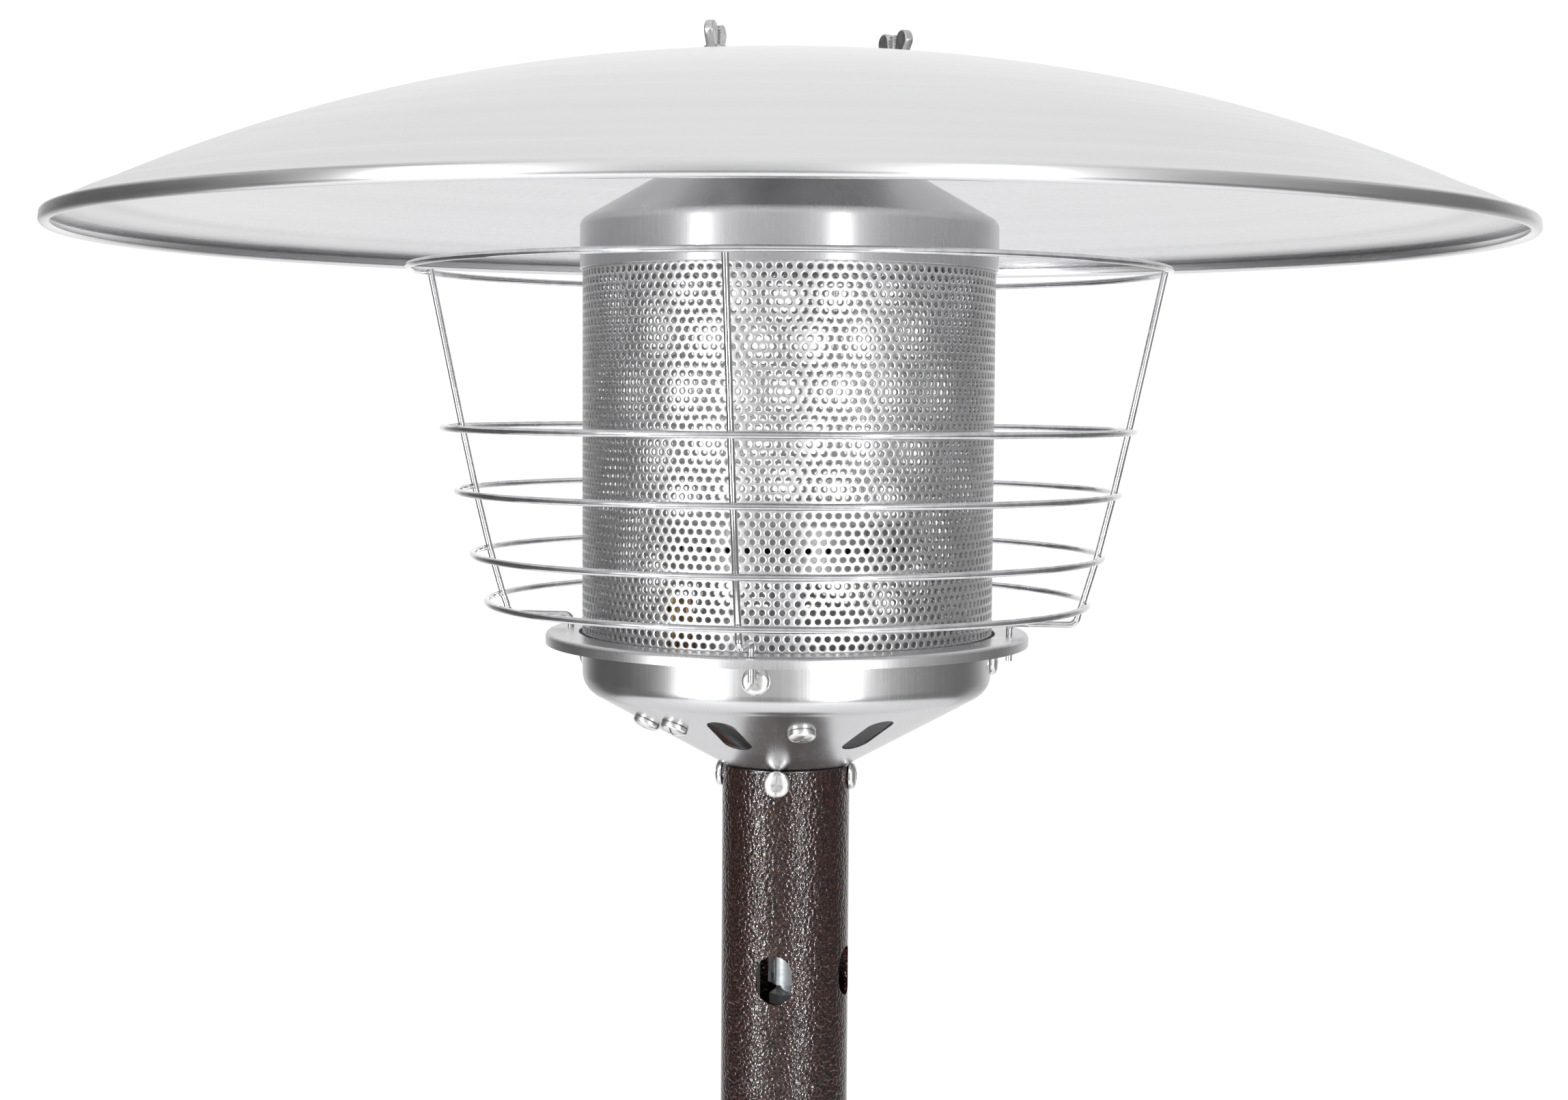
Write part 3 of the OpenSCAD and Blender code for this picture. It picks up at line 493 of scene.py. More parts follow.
def hammered():
    """Hammer finish: mottled brown paint under a clear coat, with a lump every 1.4 mm or so."""
    m = Mat("hammered_bronze", (0.05, 0.02, 0.014), rough=0.6, Specular_IOR_Level=0.0,
            Coat_Weight=1.0, Coat_Roughness=0.04, Coat_IOR=1.6)
    co = m.place()["co"]
    drift = m.noise(co, 620.0, 2.0, 0.5)
    warp = m.t.nodes.new("ShaderNodeVectorMath")
    warp.operation = "ADD"
    m.t.links.new(co, warp.inputs[0])
    m.t.links.new(m.vec(*(m.math("MULTIPLY", drift, amount) for amount in (0.0014, -0.0011, 0.0009))),
                  warp.inputs[1])
    blob = m.noise(warp.outputs[0], 980.0, 1.0, 0.4)
    fine = m.noise(co, 2600.0, 2.0, 0.6)
    base = m.ramp(blob, [(0.36, (0.006, 0.0025, 0.0021)), (0.46, (0.010, 0.0041, 0.0033)),
                         (0.55, (0.030, 0.0104, 0.0066)), (0.70, (0.050, 0.0175, 0.0108))])
    colour = m.mix(m.span(fine, 0.52, 0.75, 0.0, 0.5), base, (0.010, 0.005, 0.004))
    # each lump of the paint is a shallow dome, so that it catches the light once
    lump = m.cells(warp.outputs[0], 720.0, 0.25)
    dome = m.math("MULTIPLY", m.math("MULTIPLY", lump, lump), -1.0)
    low_swell = m.noise(co, 420.0, 1.0, 0.5)
    bump = m.bump(m.math("ADD", dome, m.math("MULTIPLY", low_swell, 0.25)), 1.0, 0.00032)
    m.link(bump, m.b.inputs["Coat Normal"])
    return m.set(colour, 0.6, bump)


def screen_steel():
    """Satin steel with a bumped drawn-in edge round each hole, and a painted highlight that lightens the
    colour round each hole.
    """
    m = Mat("perforated_steel", (0.7, 0.7, 0.71), metallic=1.0, rough=0.36)
    p = m.place()
    cloud = m.noise(p["co"], 60.0, 5.0, 0.65)
    fine = m.noise(p["co"], 900.0, 3.0, 0.6)
    heat = m.noise(m.round_about(1.6, 0.0, 14.0), 1.0, 3.0, 0.6)
    # distance from the nearest hole's centre, in millimetres, for the drawn-in edge that the punch leaves (a
    # bump) and for the painted highlight round each hole
    turn = m.math("ARCTAN2", p["x"], m.math("MULTIPLY", p["y"], -1.0))
    turn = m.math("MULTIPLY", turn, PITCH_N / (2 * math.pi))
    row = m.math("DIVIDE", m.math("SUBTRACT", p["z"], ROWS_FROM * MM), ROW_H * MM)

    def off(shift):
        """Distance from the nearest hole of the even rows, or of the odd ones if shift is 1."""
        u = m.math("ADD", turn, 0.5 * shift + PITCH_N)
        v = m.math("MULTIPLY", m.math("ADD", row, 200.0 + shift), 0.5)
        across = m.math("SUBTRACT", m.math("FRACT", u), 0.5)
        across = m.math("MULTIPLY", across, 2 * math.pi * SCREEN_R / PITCH_N)
        up = m.math("SUBTRACT", m.math("ROUND", v), v)
        up = m.math("MULTIPLY", up, 2 * ROW_H)
        return m.math("SQRT", m.math("ADD", m.math("MULTIPLY", across, across), m.math("MULTIPLY", up, up)))

    edge = m.math("MINIMUM", off(0), off(1))
    rim_bump_and_painted_highlight = m.span(edge, HOLE_R - 0.05, HOLE_R + 0.33)
    spots = m.math("ADD", m.span(fine, 0.3, 0.7, -0.05, 0.05), m.span(heat, 0.3, 0.7, -0.05, 0.04))
    tone = m.math("ADD", m.span(cloud, 0.3, 0.75, 0.64, 0.74), spots)
    # painted highlight: the colour is made up to 0.16 lighter round each hole's edge
    tone = m.math("ADD", tone, m.span(rim_bump_and_painted_highlight, 0.0, 1.0, 0.16, 0.0))
    colour = m.vec(tone, tone, m.math("MULTIPLY", tone, 1.005))
    rough = m.math("ADD", m.span(cloud, 0.3, 0.75, 0.30, 0.40), m.span(fine, 0.3, 0.7, -0.04, 0.04))
    grain = m.bump(m.math("ADD", fine, m.math("MULTIPLY", cloud, 2.0)), 0.14, 0.00008)
    return m.set(colour, rough, m.bump(rim_bump_and_painted_highlight, 0.8, 0.00013, grain))


def moulded(name, colour, rough=0.45, grain=900.0, **sockets):
    m = Mat(name, colour, rough=rough, **sockets)
    g = m.noise(m.place()["co"], grain, 3.0, 0.6)
    wear = m.noise(m.place()["co"], 50.0, 4.0, 0.6)
    tone = m.mix(m.span(wear, 0.35, 0.8), colour, tuple(min(c * 1.5 + 0.006, 1) for c in colour))
    gloss = m.math("ADD", m.span(g, 0.3, 0.7, rough * 0.85, rough * 1.15), m.span(wear, 0.4, 0.8, 0.0, 0.06))
    return m.set(tone, gloss, m.bump(g, 0.25, 0.00006))


def brass():
    m = Mat("brass", (0.66, 0.47, 0.2), metallic=1.0, rough=0.25)
    cloud = m.noise(m.place()["co"], 140.0, 4.0, 0.6)
    turn = m.noise(m.place()["co"], 1200.0, 2.0, 0.5)
    colour = m.mix(m.span(cloud, 0.35, 0.75), (0.70, 0.50, 0.22), (0.46, 0.31, 0.13))
    return m.set(colour, m.span(cloud, 0.3, 0.8, 0.2, 0.4), m.bump(turn, 0.15, 0.00003))


def cast(name, colour, metallic, rough):
    m = Mat(name, colour, metallic=metallic, rough=rough)
    g = m.noise(m.place()["co"], 500.0, 5.0, 0.65)
    cloud = m.noise(m.place()["co"], 40.0, 4.0, 0.6)
    tone = m.mix(m.span(cloud, 0.3, 0.8), colour, tuple(c * 0.72 for c in colour))
    return m.set(tone, m.span(g, 0.3, 0.7, rough * 0.85, min(rough * 1.2, 1.0)), m.bump(g, 0.4, 0.0002))


DOME = dome_metal()
WIRE = chrome_wire()
SCREW = plated("bright_screw", 0.82, 0.25)
STUD = plated("zinc_stud", 0.66, 0.26)
ZINC = cast("zinc_plate", (0.86, 0.91, 0.95), 0.4, 0.32)
HAMMER = hammered()
SCREEN = screen_steel()
CAP = brushed("brushed_cap", 0.60, 0.3, 520.0, 8.0, 10.0, aniso=0.88, turn=0.25, fine=0.14)
FLANGE = brushed("satin_flange", 0.70, 0.3, 420.0, 14.0, 20.0)
BOWL = brushed("satin_bowl", 0.62, 0.24, 360.0, 10.0, 14.0, aniso=0.4)
PLAIN = brushed("plain_steel", 0.50, 0.35, 90.0, 60.0, 60.0)
BLACK = moulded("black_moulding", (0.014, 0.014, 0.015), 0.42)
RUBBER = moulded("black_rubber", (0.02, 0.02, 0.02), 0.75, 1400.0)
BRASS = brass()
CERAMIC = moulded("glazed_ceramic", (0.80, 0.79, 0.75), 0.18, 300.0)
RED = moulded("red_moulding", (0.42, 0.012, 0.01), 0.3, 500.0)
CASTING = cast("die_casting", (0.52, 0.52, 0.53), 0.9, 0.45)
IRON = cast("cast_iron", (0.06, 0.06, 0.06), 0.6, 0.65)
GREEN = moulded("green_paint", (0.035, 0.11, 0.06), 0.3, 220.0, Coat_Weight=0.4)
COPPER = cast("copper", (0.6, 0.33, 0.2), 1.0, 0.3)
ALUMINIUM = cast("soft_aluminium", (0.75, 0.75, 0.76), 1.0, 0.35)
SILICONE = moulded("silicone", (0.70, 0.68, 0.62), 0.55, 700.0)


# ---------------------------------------------------------------- camera, fitted to the photograph
CAM_AT = Vector((-1.3, -863.0, LIP - 44.6)) * MM
CAM_DIP = 3.92                       # degrees below the horizon
CAM_ROLL = 0.385
PHOTO_W = 2296.0                     # pixels
FOCAL = 3378.0                       # pixels
SENSOR_W = 36.0

cam_data = bpy.data.cameras.new("camera")
cam_data.sensor_fit = "HORIZONTAL"
cam_data.sensor_width = SENSOR_W
cam_data.lens = FOCAL / PHOTO_W * SENSOR_W
cam_data.clip_start = 0.01
cam = bpy.data.objects.new("camera", cam_data)
bpy.context.scene.collection.objects.link(cam)
cam.matrix_world = (Matrix.Translation(CAM_AT) @ Matrix.Rotation(rad(90 - CAM_DIP), 4, "X")
                    @ Matrix.Rotation(rad(CAM_ROLL), 4, "Z"))
bpy.context.scene.camera = cam
bpy.context.scene.view_settings.view_transform = "Standard"


# ---------------------------------------------------------------- reflector
BAND_H = 5.5                         # upright band under the ridge
BRIM_H = 7.1                         # from the ridge to the crown's foot
CROWN_R = 247.0
POWER = 2.2                          # how full the crown's curve is
ROLL_R = 2                           # rounding of the rim and the ridge
ridge_z = RIM_Z + BAND_H
brim_z = ridge_z + BRIM_H
crown_h = CROWN_TOP - brim_z


def crown_z(r):
    return brim_z + crown_h * (1 - (r / CROWN_R) ** POWER)


def reflector():
    path = arc((RIM_R - ROLL_R, RIM_Z + ROLL_R), ROLL_R, 200, 360, 20)
    path += arc((RIM_R - ROLL_R - 0.2, ridge_z - ROLL_R), ROLL_R, 20, 68, 10)
    path += [(RIM_R - 6, ridge_z + 1.4), (RIM_R - 12, ridge_z + 4.4), (CROWN_R + 1.6, brim_z - 0.45)]
    steps = 84
    for i in range(steps + 1):
        r = CROWN_R * (1 - i / steps)
        path.append((r, crown_z(r)))
    verts, faces = lathe(outline(path, -1.0), 384)
    make("reflector_shell", verts, faces, DOME, ("reflector",), sharp=32)


reflector()


# ---------------------------------------------------------------- cap
CAP_TOP = high("top_cap")
CAP_TOP_R = 47.0
SKIRT_H = 18
CAP_ROUND = 4


def top_cap():
    path = [(CAP_R - 0.35, LIP), (CAP_R, LIP + 0.35)]
    corner = (CAP_R - CAP_ROUND, LIP + SKIRT_H - CAP_ROUND * math.tan(rad(45 - CONE / 2)))
    path += arc(corner, CAP_ROUND, 0, 90 - CONE, 14)
    path += arc((CAP_TOP_R, CAP_TOP - CAP_ROUND), CAP_ROUND, 90 - CONE, 90, 8)
    path += [(0.0, CAP_TOP)]
    verts, faces = lathe(outline(path, -SHEET), 320)
    make("cap_shell", verts, faces, CAP, ("top_cap",), sharp=30)


top_cap()


# ---------------------------------------------------------------- perforated screen
HOLE_SIDES = 10


def perforated_half(name, first, count):
    """Half of the sheet's cylinder, with its rows of holes set in steps of half a pitch."""
    step = 360.0 / PITCH_N
    index, verts, faces = {}, [], []

    def vert(a, z, side):
        key = (round(a * 50), round(z * 1000), side)
        if key not in index:
            index[key] = len(verts)
            verts.append(tuple(polar(SCREEN_R - (SHEET if side else 0), a, z)))
        return index[key]

    def strip(i0, i1, z0, z1, bottom, top):
        """Plain band of sheet between two heights."""
        for k in range(i0, i1):
            a0, a1 = k * step / 2, (k + 1) * step / 2
            faces.append([vert(a0, z0, 0), vert(a1, z0, 0), vert(a1, z1, 0), vert(a0, z1, 0)])
            faces.append([vert(a0, z1, 1), vert(a1, z1, 1), vert(a1, z0, 1), vert(a0, z0, 1)])
            if bottom:
                faces.append([vert(a0, z0, 1), vert(a1, z0, 1), vert(a1, z0, 0), vert(a0, z0, 0)])
            if top:
                faces.append([vert(a0, z1, 0), vert(a1, z1, 0), vert(a1, z1, 1), vert(a0, z1, 1)])

    def mid(row):
        return ROWS_FROM + ROW_H * row

    for row in range(ROWS):
        shift = (row % 2) * 0.5
        z0, z1 = mid(row) - ROW_H / 2, mid(row) + ROW_H / 2
        for k in range(first, first + count):
            ac = (k + 0.5 + shift) * step
            ring = []
            for side in (0, 1):
                # edge 1 lies below the hole and edge 4 above it
                edge = [vert(ac - step / 2, z0, side), vert(ac, z0, side), vert(ac + step / 2, z0, side),
                        vert(ac + step / 2, z1, side), vert(ac, z1, side), vert(ac - step / 2, z1, side)]
                hole = []
                for j in range(HOLE_SIDES):
                    t = 2 * math.pi * j / HOLE_SIDES - math.pi / 2
                    r = SCREEN_R - (SHEET if side else 0)
                    across = math.degrees(HOLE_R * math.cos(t) / SCREEN_R)
                    verts.append(tuple(polar(r, ac + across, mid(row) + HOLE_R * math.sin(t))))
                    hole.append(len(verts) - 1)
                ring.append(hole)
                tris = [[edge[i], edge[(i + 1) % 6], hole[h]]
                        for i, h in ((1, 1), (2, 2), (3, 4), (4, 6), (5, 8), (0, 9))]
                tris += [[hole[j], edge[i], hole[(j + 1) % HOLE_SIDES]]
                         for j, i in enumerate((1, 2, 3, 3, 4, 4, 5, 5, 0, 1))]
                faces.extend([t[::-1] for t in tris] if side else tris)
            for j in range(HOLE_SIDES):
                n = (j + 1) % HOLE_SIDES
                faces.append([ring[0][n], ring[0][j], ring[1][j], ring[1][n]])
    top = mid(ROWS - 1) + ROW_H / 2
    bottom = mid(0) - ROW_H / 2
    s = (ROWS - 1) % 2
    strip(2 * first, 2 * (first + count), SCREEN_BOTTOM, bottom, True, False)
    strip(2 * first + s, 2 * (first + count) + s, top, SCREEN_TOP, False, True)
    make(name, verts, faces, SCREEN, ("emitter_screen",), sharp=40, clean=False)


perforated_half("screen_right", 0, PITCH_N // 2)
perforated_half("screen_left", PITCH_N // 2, PITCH_N // 2)


# ---------------------------------------------------------------- guard
HOOPS = [(140.0, 0.0), (127.8, 58.4), (122.7, 81.5), (117.0, 104.8), (111.8, 122.4)]  # radius, drop
WIRE_R = 1.2
WIRE_SIDES = 18
WELD = 2.0                           # from a hoop's wire to an upright's, less than two radii
HOOK_R = 83.2                        # where the uprights go down through the flange
HOOK_Z = LIP - 143.5
LEG_Z = LIP - 129.6
FOOT_BEND = 3.6
HOOK_BEND = 2.4
UP_TURN = HEAD_TURN - 0.5


def guard():
    hoops = []
    for r, drop in HOOPS:
        pts = [polar(r, 360 * i / 240, LIP - drop) for i in range(240)]
        hoops.append(sweep(pts, WIRE_R, WIRE_SIDES, closed=True))
    verts, faces = joined(hoops)
    make("guard_rings", verts, faces, WIRE, ("guard_hoops",), sharp=None)

    foot = HOOPS[-1][0] - WELD
    path = [(HOOPS[0][0] - WELD + 0.1, LIP + WIRE_R)]
    path += [(r - WELD, LIP - drop) for r, drop in HOOPS]
    for a in range(0, 91, 10):
        c, s = math.cos(rad(a)), math.sin(rad(a))
        path.append((foot - 1.4 - FOOT_BEND * (1 - c), LEG_Z + FOOT_BEND * (1 - s)))
    for a in range(0, 91, 10):
        c, s = math.cos(rad(a)), math.sin(rad(a))
        path.append((HOOK_R + HOOK_BEND * (1 - s), LEG_Z - HOOK_BEND * (1 - c)))
    path += [(HOOK_R, HOOK_Z)]
    legs, beads = [], []
    for i in range(4):
        a = UP_TURN + 90 * i
        legs.append(sweep([polar(r, a, z) for r, z in path], WIRE_R, WIRE_SIDES))
        for r, drop in HOOPS:
            bm = bmesh.new()
            bmesh.ops.create_icosphere(bm, subdivisions=2, radius=1.0)
            rim_bump_and_painted_highlight = Matrix.Diagonal((1.15, 0.95, 0.8, 1))
            at = Matrix.Translation(polar(r - WELD / 2, a, LIP - drop)) @ Matrix.Rotation(rad(a), 4, "Z")
            bmesh.ops.transform(bm, matrix=at @ rim_bump_and_painted_highlight, verts=bm.verts)
            bm.verts.index_update()
            beads.append(from_bmesh(bm))
    verts, faces = joined(legs + beads)
    make("guard_legs", verts, faces, WIRE, ("guard_uprights",), sharp=50)


guard()


def flange():
    """Ring with a rounded outer edge, a ledge for the screen and a collar inside the bowl."""
    collar = BOWL_R - 2 * SHEET - 0.1
    ledge = FLANGE_Z - 3.4
    seat = CAP_R + 0.2
    edge = 1.6
    path = [(FLANGE_R - 0.1, FLANGE_Z - 4.2)]
    path += arc((FLANGE_R - edge, FLANGE_Z - edge), edge, 0, 90, 12)
    path += [(CAP_R + 0.5, FLANGE_Z), (seat, FLANGE_Z - 0.3), (seat, ledge)]
    path += [(collar, ledge), (collar, ledge - 13.5)]
    verts, faces = lathe(outline(path, -SHEET), 320)
    make("flange_ring", verts, faces, FLANGE, ("guard_flange",), sharp=32)


flange()


# ---------------------------------------------------------------- bowl
SHOULDER_Z = LIP - 154.3             # where the wall and the cone would meet
SHOULDER_ROUND = 9
CONE_END_R = POST_R + 0.4
VENT_TURNS = (-22, 32.5, 158, 212.5)
VENT_R = 54
VENT_W, VENT_H = 27, 10.5


def cone_z(r):
    return SHOULDER_Z - (BOWL_R - r) * SLOPE


def on_cone(r, a):
    """Placement whose +Z stands square to the cone's outside."""
    return (Matrix.Rotation(rad(a), 4, "Z") @ Matrix.Translation((0, -r, cone_z(r)))
            @ Matrix.Rotation(rad(180 - CONE), 4, "X"))


def upright(r, a, z):
    """Placement on an upright wall whose +Z points out from the axis."""
    return Matrix.Rotation(rad(a), 4, "Z") @ Matrix.Translation((0, -r, z)) @ Matrix.Rotation(rad(90), 4, "X")


def bowl():
    path = [(BOWL_R, BOWL_TOP), (BOWL_R, BOWL_TOP - 3)]
    centre = (BOWL_R - SHOULDER_ROUND, SHOULDER_Z + SHOULDER_ROUND * math.tan(rad(45 - CONE / 2)))
    path += arc(centre, SHOULDER_ROUND, 0, CONE - 90, 18)
    last = path[-1]
    end = cone_z(CONE_END_R)
    for i in range(1, 13):
        t = i / 12
        path.append((last[0] + (CONE_END_R - last[0]) * t, last[1] + (end - last[1]) * t))
    inner = POST_R - POST_WALL - 0.2
    path += [(inner, end - 0.8), (inner, end - 16)]
    part = lathe(outline(path, SHEET), 288)
    verts, faces = prism(slot_shape(VENT_W, VENT_H, 16), 14)
    vent = [(v[2], v[0], v[1]) for v in verts], faces
    cutters = [moved(vent, on_cone(VENT_R, a) @ Matrix.Translation((0, 0, -7))) for a in VENT_TURNS]
    verts, faces = cut(part, *cutters)
    make("bowl_shell", verts, faces, BOWL, ("burner_bowl",), sharp=34)


bowl()


# ---------------------------------------------------------------- screws
def pan_head(head_r, head_h, shank_l):
    """Pan head with a cross and a slot, its seat at 0 and its shank below."""
    shank_r = 2.35
    edge_h = 0.75
    loop = [(0.0, -shank_l), (shank_r, -shank_l), (shank_r, 0.0),
            (head_r - 0.25, 0.0), (head_r, 0.2), (head_r, edge_h)]
    for i in range(1, 13):
        t = i / 12
        r = head_r * math.cos(rad(90 * t)) ** 0.72 if t < 1 else 0.0
        loop.append((r, edge_h + (head_h - edge_h) * math.sin(rad(90 * t)) ** 0.92))
    part = lathe(loop, 48, closed=False)
    cutters = []
    for a in (0, 90):
        arm = box_part((head_r * 0.72, 0.9, 2.6), (0, 0, head_h + 0.05))
        cutters.append(moved(arm, Matrix.Rotation(rad(a), 4, "Z")))
    cutters.append(box_part((head_r * 2.2, 0.8, 1.5), (0, 0, head_h - 0.05)))
    return cut(part, *cutters)


HEAD = pan_head(5.0, 2.8, 5.0)
BOWL_SCREW_Z = LIP - 143.8
POST_BOLT_Z = LIP - 188.4
CONE_SCREW_R = 58.4
CONE_SCREWS = ((5.3, 30), (125.3, 75), (245.3, 10), (-43.3, 62), (-60.1, 118))  # turn, spin


def screws(name, node, places):
    """Equal screws, each at a placement and spun by an angle of its own."""
    verts, faces = joined([moved(HEAD, p @ Matrix.Rotation(rad(spin), 4, "Z")) for p, spin in places])
    make(name, verts, faces, SCREW, (node,), sharp=30)


screws("bowl_screw_set", "bowl_screws",
       [(upright(BOWL_R, HEAD_TURN + 90 * i, BOWL_SCREW_Z), 49 + 51 * i) for i in range(4)])
screws("cone_screw_set", "cone_screws",
       [(on_cone(CONE_SCREW_R, a), spin) for a, spin in CONE_SCREWS])
screws("post_bolt_set", "post_bolts",
       [(upright(POST_R, HEAD_TURN + 90 * i, POST_BOLT_Z), 88 + 37 * i) for i in range(4)])


# ---------------------------------------------------------------- post
AIR_Z = LIP - 261.8
AIR_W, AIR_H = 13.6, 18.4
AIR_TURNS = [HEAD_TURN + a for a in (-2, 82, 178, 262)]


def post():
    inner = POST_R - POST_WALL
    zs = np.linspace(POST_BOTTOM, POST_TOP, 61)
    loop = [(POST_R, z) for z in zs] + [(inner, z) for z in zs[::-1]]
    part = lathe(loop, 192)
    cutters = []
    hole = prism([(z, x) for x, z in slot_shape(AIR_H, AIR_W, 18)], 10)
    for a in AIR_TURNS:
        at = Matrix.Rotation(rad(a), 4, "Z") @ Matrix.Translation((0, -POST_R - 3, AIR_Z))
        cutters.append(moved(hole, at))
    verts, faces = cut(part, *cutters)
    make("post_tube", verts, faces, HAMMER, ("post",), sharp=34)


post()


# ---------------------------------------------------------------- studs, spacers, washers, wing nuts
STUD_R = 39.3
STUD_TURNS = [-43.5 + 120 * i for i in range(3)]
WING_TURNS = (-59.5, 41.5, 75)
THREAD_R, THREAD_PITCH = 2.4, 1.06
THREAD_DEPTH = 0.55
WASHER_H = 1.2
stud_places = [polar(STUD_R, a, 0) for a in STUD_TURNS]


def threaded(r, z0, z1, pitch, sides=28):
    """Rod with a real thread: a ridge that climbs one pitch a turn."""
    per_pitch = 8
    n = int((z1 - z0) / pitch * per_pitch)
    verts, faces = [], []
    for i in range(n + 1):
        z = z0 + (z1 - z0) * i / n
        for k in range(sides):
            phase = (z / pitch - k / sides) % 1.0
            groove = THREAD_DEPTH * (1 - abs(2 * phase - 1)) ** 0.9
            fade = min(1.0, (z1 - z) / 0.8)
            rr = r - groove - (1 - fade) * 0.45
            a = 2 * math.pi * k / sides
            verts.append((rr * math.cos(a), rr * math.sin(a), z))
    for i in range(n):
        for k in range(sides):
            m = (k + 1) % sides
            faces.append([i * sides + k, i * sides + m, (i + 1) * sides + m, (i + 1) * sides + k])
    faces.append(list(range(sides))[::-1])
    faces.append([n * sides + k for k in range(sides)])
    return verts, faces


def on_studs(part):
    return joined([moved(part, Matrix.Translation(p)) for p in stud_places])


def studs():
    z0, z1 = low("reflector_studs"), high("reflector_studs")
    rod = threaded(THREAD_R, z0, z1, THREAD_PITCH)
    make("stud_set", *on_studs(rod), STUD, ("reflector_studs",), sharp=45)
    z0, z1 = low("stud_spacers"), high("stud_spacers")
    tube = lathe([(5.5, z0 + 0.4), (5.5, z1 - 0.4), (5.1, z1), (2.6, z1), (2.6, z0), (5.1, z0)], 64)
    make("spacer_set", *on_studs(tube), PLAIN, ("stud_spacers",))
    z0, z1 = low("reflector_washers"), high("reflector_washers")
    rings = []
    for z in (z0, z1 - WASHER_H):
        top = z + WASHER_H
        loop = [(6.0, z + 0.25), (6.0, z + 0.95), (5.75, top), (2.5, top), (2.5, z), (5.75, z)]
        rings.append(lathe(loop, 64))
    make("washer_set", *on_studs(joined(rings)), SCREW, ("reflector_washers",))


studs()


def wing_nut():
    """Tapered hub with two rounded wings that lean outwards, its seat at 0."""
    hub = lathe([(2.4, 0.0), (4.3, 0.0), (4.5, 0.3), (4.3, 1.6), (4.1, 2.35), (3.85, 2.6), (2.4, 2.6)], 48)
    wings = []
    for s in (-1, 1):
        shape = [(-2.4, 0.2), (2.4, 0.2), (3.0, 4.0), (3.45, 6.0)]
        for i in range(13):
            t = rad(-8 + 196 * i / 12)
            shape.append((3.5 * math.cos(t), 7.1 + 3.3 * math.sin(t)))
        shape += [(-3.3, 5.8), (-2.9, 4.0)]
        n = len(shape)
        verts, faces = [], []
        middle = 4.2
        for y, grow in ((-1.6, -0.4), (-1.2, 0.0), (1.2, 0.0), (1.6, -0.4)):
            for x, z in shape:
                k = 1 + grow / max(math.hypot(x, z - middle), 0.5)
                verts.append((x * k, y, middle + (z - middle) * k))
        for layer in range(3):
            for i in range(n):
                j = (i + 1) % n
                faces.append([layer * n + i, layer * n + j, (layer + 1) * n + j, (layer + 1) * n + i])
        faces += [list(range(n))[::-1], list(range(3 * n, 4 * n))]
        at = Matrix.Translation((s * 3.6, 0, 1.0)) @ Matrix.Rotation(rad(24 * s), 4, "Y")
        wings.append(moved((verts, faces), at))
    return joined([hub] + wings)


def wing_nuts():
    seat = Vector((0, 0, low("wing_nuts")))
    nut = wing_nut()
    parts = []
    for p, a, spin in zip(stud_places, STUD_TURNS, WING_TURNS):
        at = Matrix.Translation(p + seat) @ Matrix.Rotation(rad(a + spin), 4, "Z")
        parts.append(moved(nut, at))
    make("wing_nut_set", *joined(parts), STUD, ("wing_nuts",), sharp=40)


wing_nuts()


# ---------------------------------------------------------------- CAD nodes that stay
def dress(material, *nodes):
    for node in nodes:
        obj = next(o for o in bpy.data.objects if o.name == node)
        for s in obj.material_slots:
            s.material = material


dress(ZINC, "mixer_tube", "orifice", "orifice_nut")
dress(PLAIN, "burner_drum", "burner_bracket", "pilot_bracket", "gas_pipe", "ballast_bolt",
      "valve_bracket", "door_hinge_pins")
dress(BRASS, "pilot_burner", "cylinder_valve", "cylinder_socket", "pipe_fitting", "stem_collar", "valve_stem")
dress(ALUMINIUM, "pilot_tube")
dress(COPPER, "thermocouple", "thermocouple_lead")
dress(CERAMIC, "igniter_electrode")
dress(SILICONE, "igniter_lead")
dress(HAMMER, "cylinder_housing", "base_plate", "cylinder_door")
dress(IRON, "ballast")
dress(SCREW, "post_foot_screws", "housing_screws", "bracket_screws")
dress(RUBBER, "rubber_feet")
dress(GREEN, "gas_cylinder")
dress(CASTING, "regulator_valve")
dress(BLACK, "tilt_switch", "control_knob", "igniter_body", "igniter_nut", "door_pull", "door_magnet")
dress(FLANGE, "knob_bezel")
dress(RED, "igniter_button")


# ---------------------------------------------------------------- floor, light and surroundings
def plain(name, colour, glow):
    m = Mat(name, colour, rough=0.9, Emission_Color=(*colour, 1), Emission_Strength=glow)
    g = m.noise(m.place()["co"], 3.0, 2.0, 0.5)
    return m.set(m.mix(m.span(g, 0.3, 0.7), colour, tuple(c * 0.985 for c in colour)))


def floor(radius=1.15, sides=128):
    """Pale disc under the heater, in metres."""
    mesh = bpy.data.meshes.new("floor")
    turns = [2 * math.pi * i / sides for i in range(sides)]
    ring = [(radius * math.cos(t), radius * math.sin(t), 0) for t in turns]
    mesh.from_pydata(ring, [], [list(range(sides))])
    mesh.materials.append(plain("pale_floor", (0.93, 0.93, 0.94), glow=0.22))
    obj = bpy.data.objects.new("floor", mesh)
    bpy.context.scene.collection.objects.link(obj)


floor()

world = bpy.data.worlds.new("studio")
bpy.context.scene.world = world
world.use_nodes = True
wt = world.node_tree
back = wt.nodes["Background"]


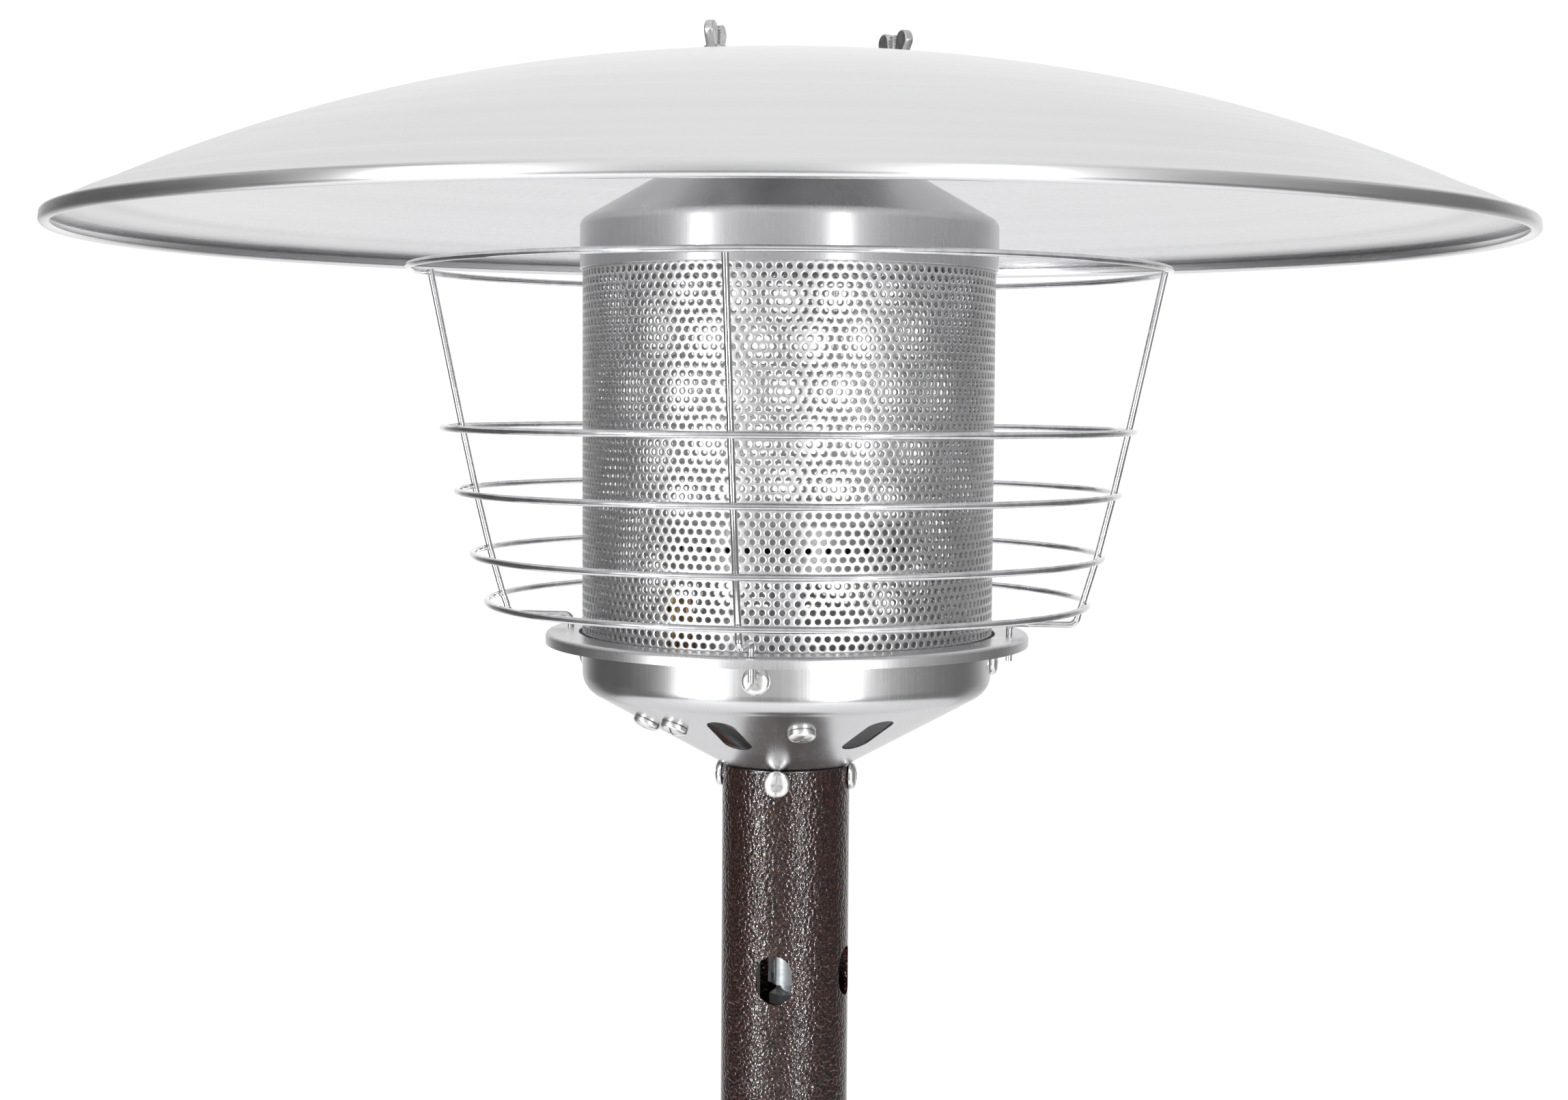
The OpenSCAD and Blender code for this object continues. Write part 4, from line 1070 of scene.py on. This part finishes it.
def studio_light():
    """Surroundings by direction: white behind the heater, a soft box to either side of the camera
    and a darker room between them."""
    links = wt.links

    def node(kind, **values):
        n = wt.nodes.new(kind)
        for key, value in values.items():
            setattr(n, key, value)
        return n

    def rescale(source, lo, hi):
        n = node("ShaderNodeMapRange", interpolation_type="SMOOTHSTEP")
        n.inputs["From Min"].default_value = lo
        n.inputs["From Max"].default_value = hi
        links.new(source, n.inputs["Value"])
        return n.outputs["Result"]

    def blend(fac, a, b):
        n = node("ShaderNodeMix", data_type="RGBA")
        links.new(fac, n.inputs[0])
        for value, socket in ((a, n.inputs[6]), (b, n.inputs[7])):
            if isinstance(value, float):
                socket.default_value = (value, value, value, 1)
            else:
                links.new(value, socket)
        return n.outputs[2]

    tc = node("ShaderNodeTexCoord")
    sep = node("ShaderNodeSeparateXYZ")
    links.new(tc.outputs["Generated"], sep.inputs[0])
    neg = node("ShaderNodeMath", operation="MULTIPLY")
    neg.inputs[1].default_value = -1
    links.new(sep.outputs[1], neg.inputs[0])
    ang = node("ShaderNodeMath", operation="ARCTAN2")
    links.new(sep.outputs[0], ang.inputs[0])
    links.new(neg.outputs[0], ang.inputs[1])
    turn = node("ShaderNodeMapRange")
    turn.inputs["From Min"].default_value = -math.pi
    turn.inputs["From Max"].default_value = math.pi
    links.new(ang.outputs[0], turn.inputs["Value"])

    def round_ramp(stops):
        """Brightness by angle from straight in front, in degrees, with right as positive."""
        ramp = node("ShaderNodeValToRGB")
        ramp.color_ramp.interpolation = "EASE"
        fill_ramp(ramp.color_ramp.elements, [((a + 180) / 360, (v, v, v)) for a, v in stops])
        links.new(turn.outputs["Result"], ramp.inputs["Fac"])
        return ramp.outputs["Color"]

    level = round_ramp([(-180, 1.1), (-158, 0.9), (-145, 0.30), (-132, 0.12), (-98, 0.12), (-80, 0.25),
                        (-66, 0.6), (-60, 1.7), (-38, 1.7), (-30, 1.0), (-22, 0.75), (-10, 0.62), (0, 0.62),
                        (7, 0.8), (14, 1.3), (37, 1.3), (46, 0.85), (58, 0.5), (80, 0.33), (98, 0.22),
                        (122, 0.2), (136, 0.42), (152, 0.9), (180, 1.1)])
    upper = round_ramp([(-180, 0.93), (-150, 0.88), (-125, 0.5), (-75, 0.5), (-40, 0.9), (40, 0.9),
                        (75, 0.55), (125, 0.55), (150, 0.88), (180, 0.93)])
    lower = round_ramp([(-180, 1.0), (-150, 0.5), (-130, 0.12), (-80, 0.2), (-60, 0.55), (-38, 0.55),
                        (-20, 0.35), (0, 0.32), (14, 0.5), (37, 0.5), (58, 0.25), (122, 0.2), (140, 0.5),
                        (180, 1.0)])
    sky = blend(rescale(sep.outputs[2], -0.26, -0.13), lower, level)
    sky = blend(rescale(sep.outputs[2], 0.30, 0.55), sky, upper)
    sky = blend(rescale(sep.outputs[2], 0.75, 0.95), sky, 0.93)
    path = node("ShaderNodeLightPath")
    links.new(blend(path.outputs["Is Camera Ray"], sky, 1.05), back.inputs["Color"])
    back.inputs["Strength"].default_value = 1.0


studio_light()


def area(name, at, aim, size, power):
    data = bpy.data.lights.new(name, "AREA")
    data.shape = "RECTANGLE"
    data.size, data.size_y = size
    data.energy = power
    obj = bpy.data.objects.new(name, data)
    bpy.context.scene.collection.objects.link(obj)
    obj.location = at
    obj.rotation_mode = "QUATERNION"
    obj.rotation_quaternion = (Vector(aim) - Vector(at)).to_track_quat("-Z", "Y")


# the tall strips draw the bright lines on the cylinders; the low ones light the paint's bumps
for side, a in (("left", -48), ("right", 27)):
    area(side + "_strip", polar(1600, a, 700) * MM, (0, 0, 0.7), (0.11, 1.4), 5.0)
    area(side + "_low_strip", polar(1500, a, 300) * MM, (0, 0, 0.6), (0.14, 0.4), 5.2)

# a snoot from the left, through the front air hole on to the burner's tube
SNOOT_FROM = polar(900, -22, AIR_Z + 30)
snoot = bpy.data.objects.new("snoot", bpy.data.lights.new("snoot", "SPOT"))
snoot.data.energy = 16.0
snoot.data.spot_size = rad(1.5)
snoot.data.spot_blend = 0.3
snoot.data.shadow_soft_size = 0.004
snoot.location = SNOOT_FROM * MM
snoot.rotation_mode = "QUATERNION"
snoot.rotation_quaternion = (polar(POST_R, AIR_TURNS[0], AIR_Z) - SNOOT_FROM).to_track_quat("-Z", "Y")
bpy.context.scene.collection.objects.link(snoot)
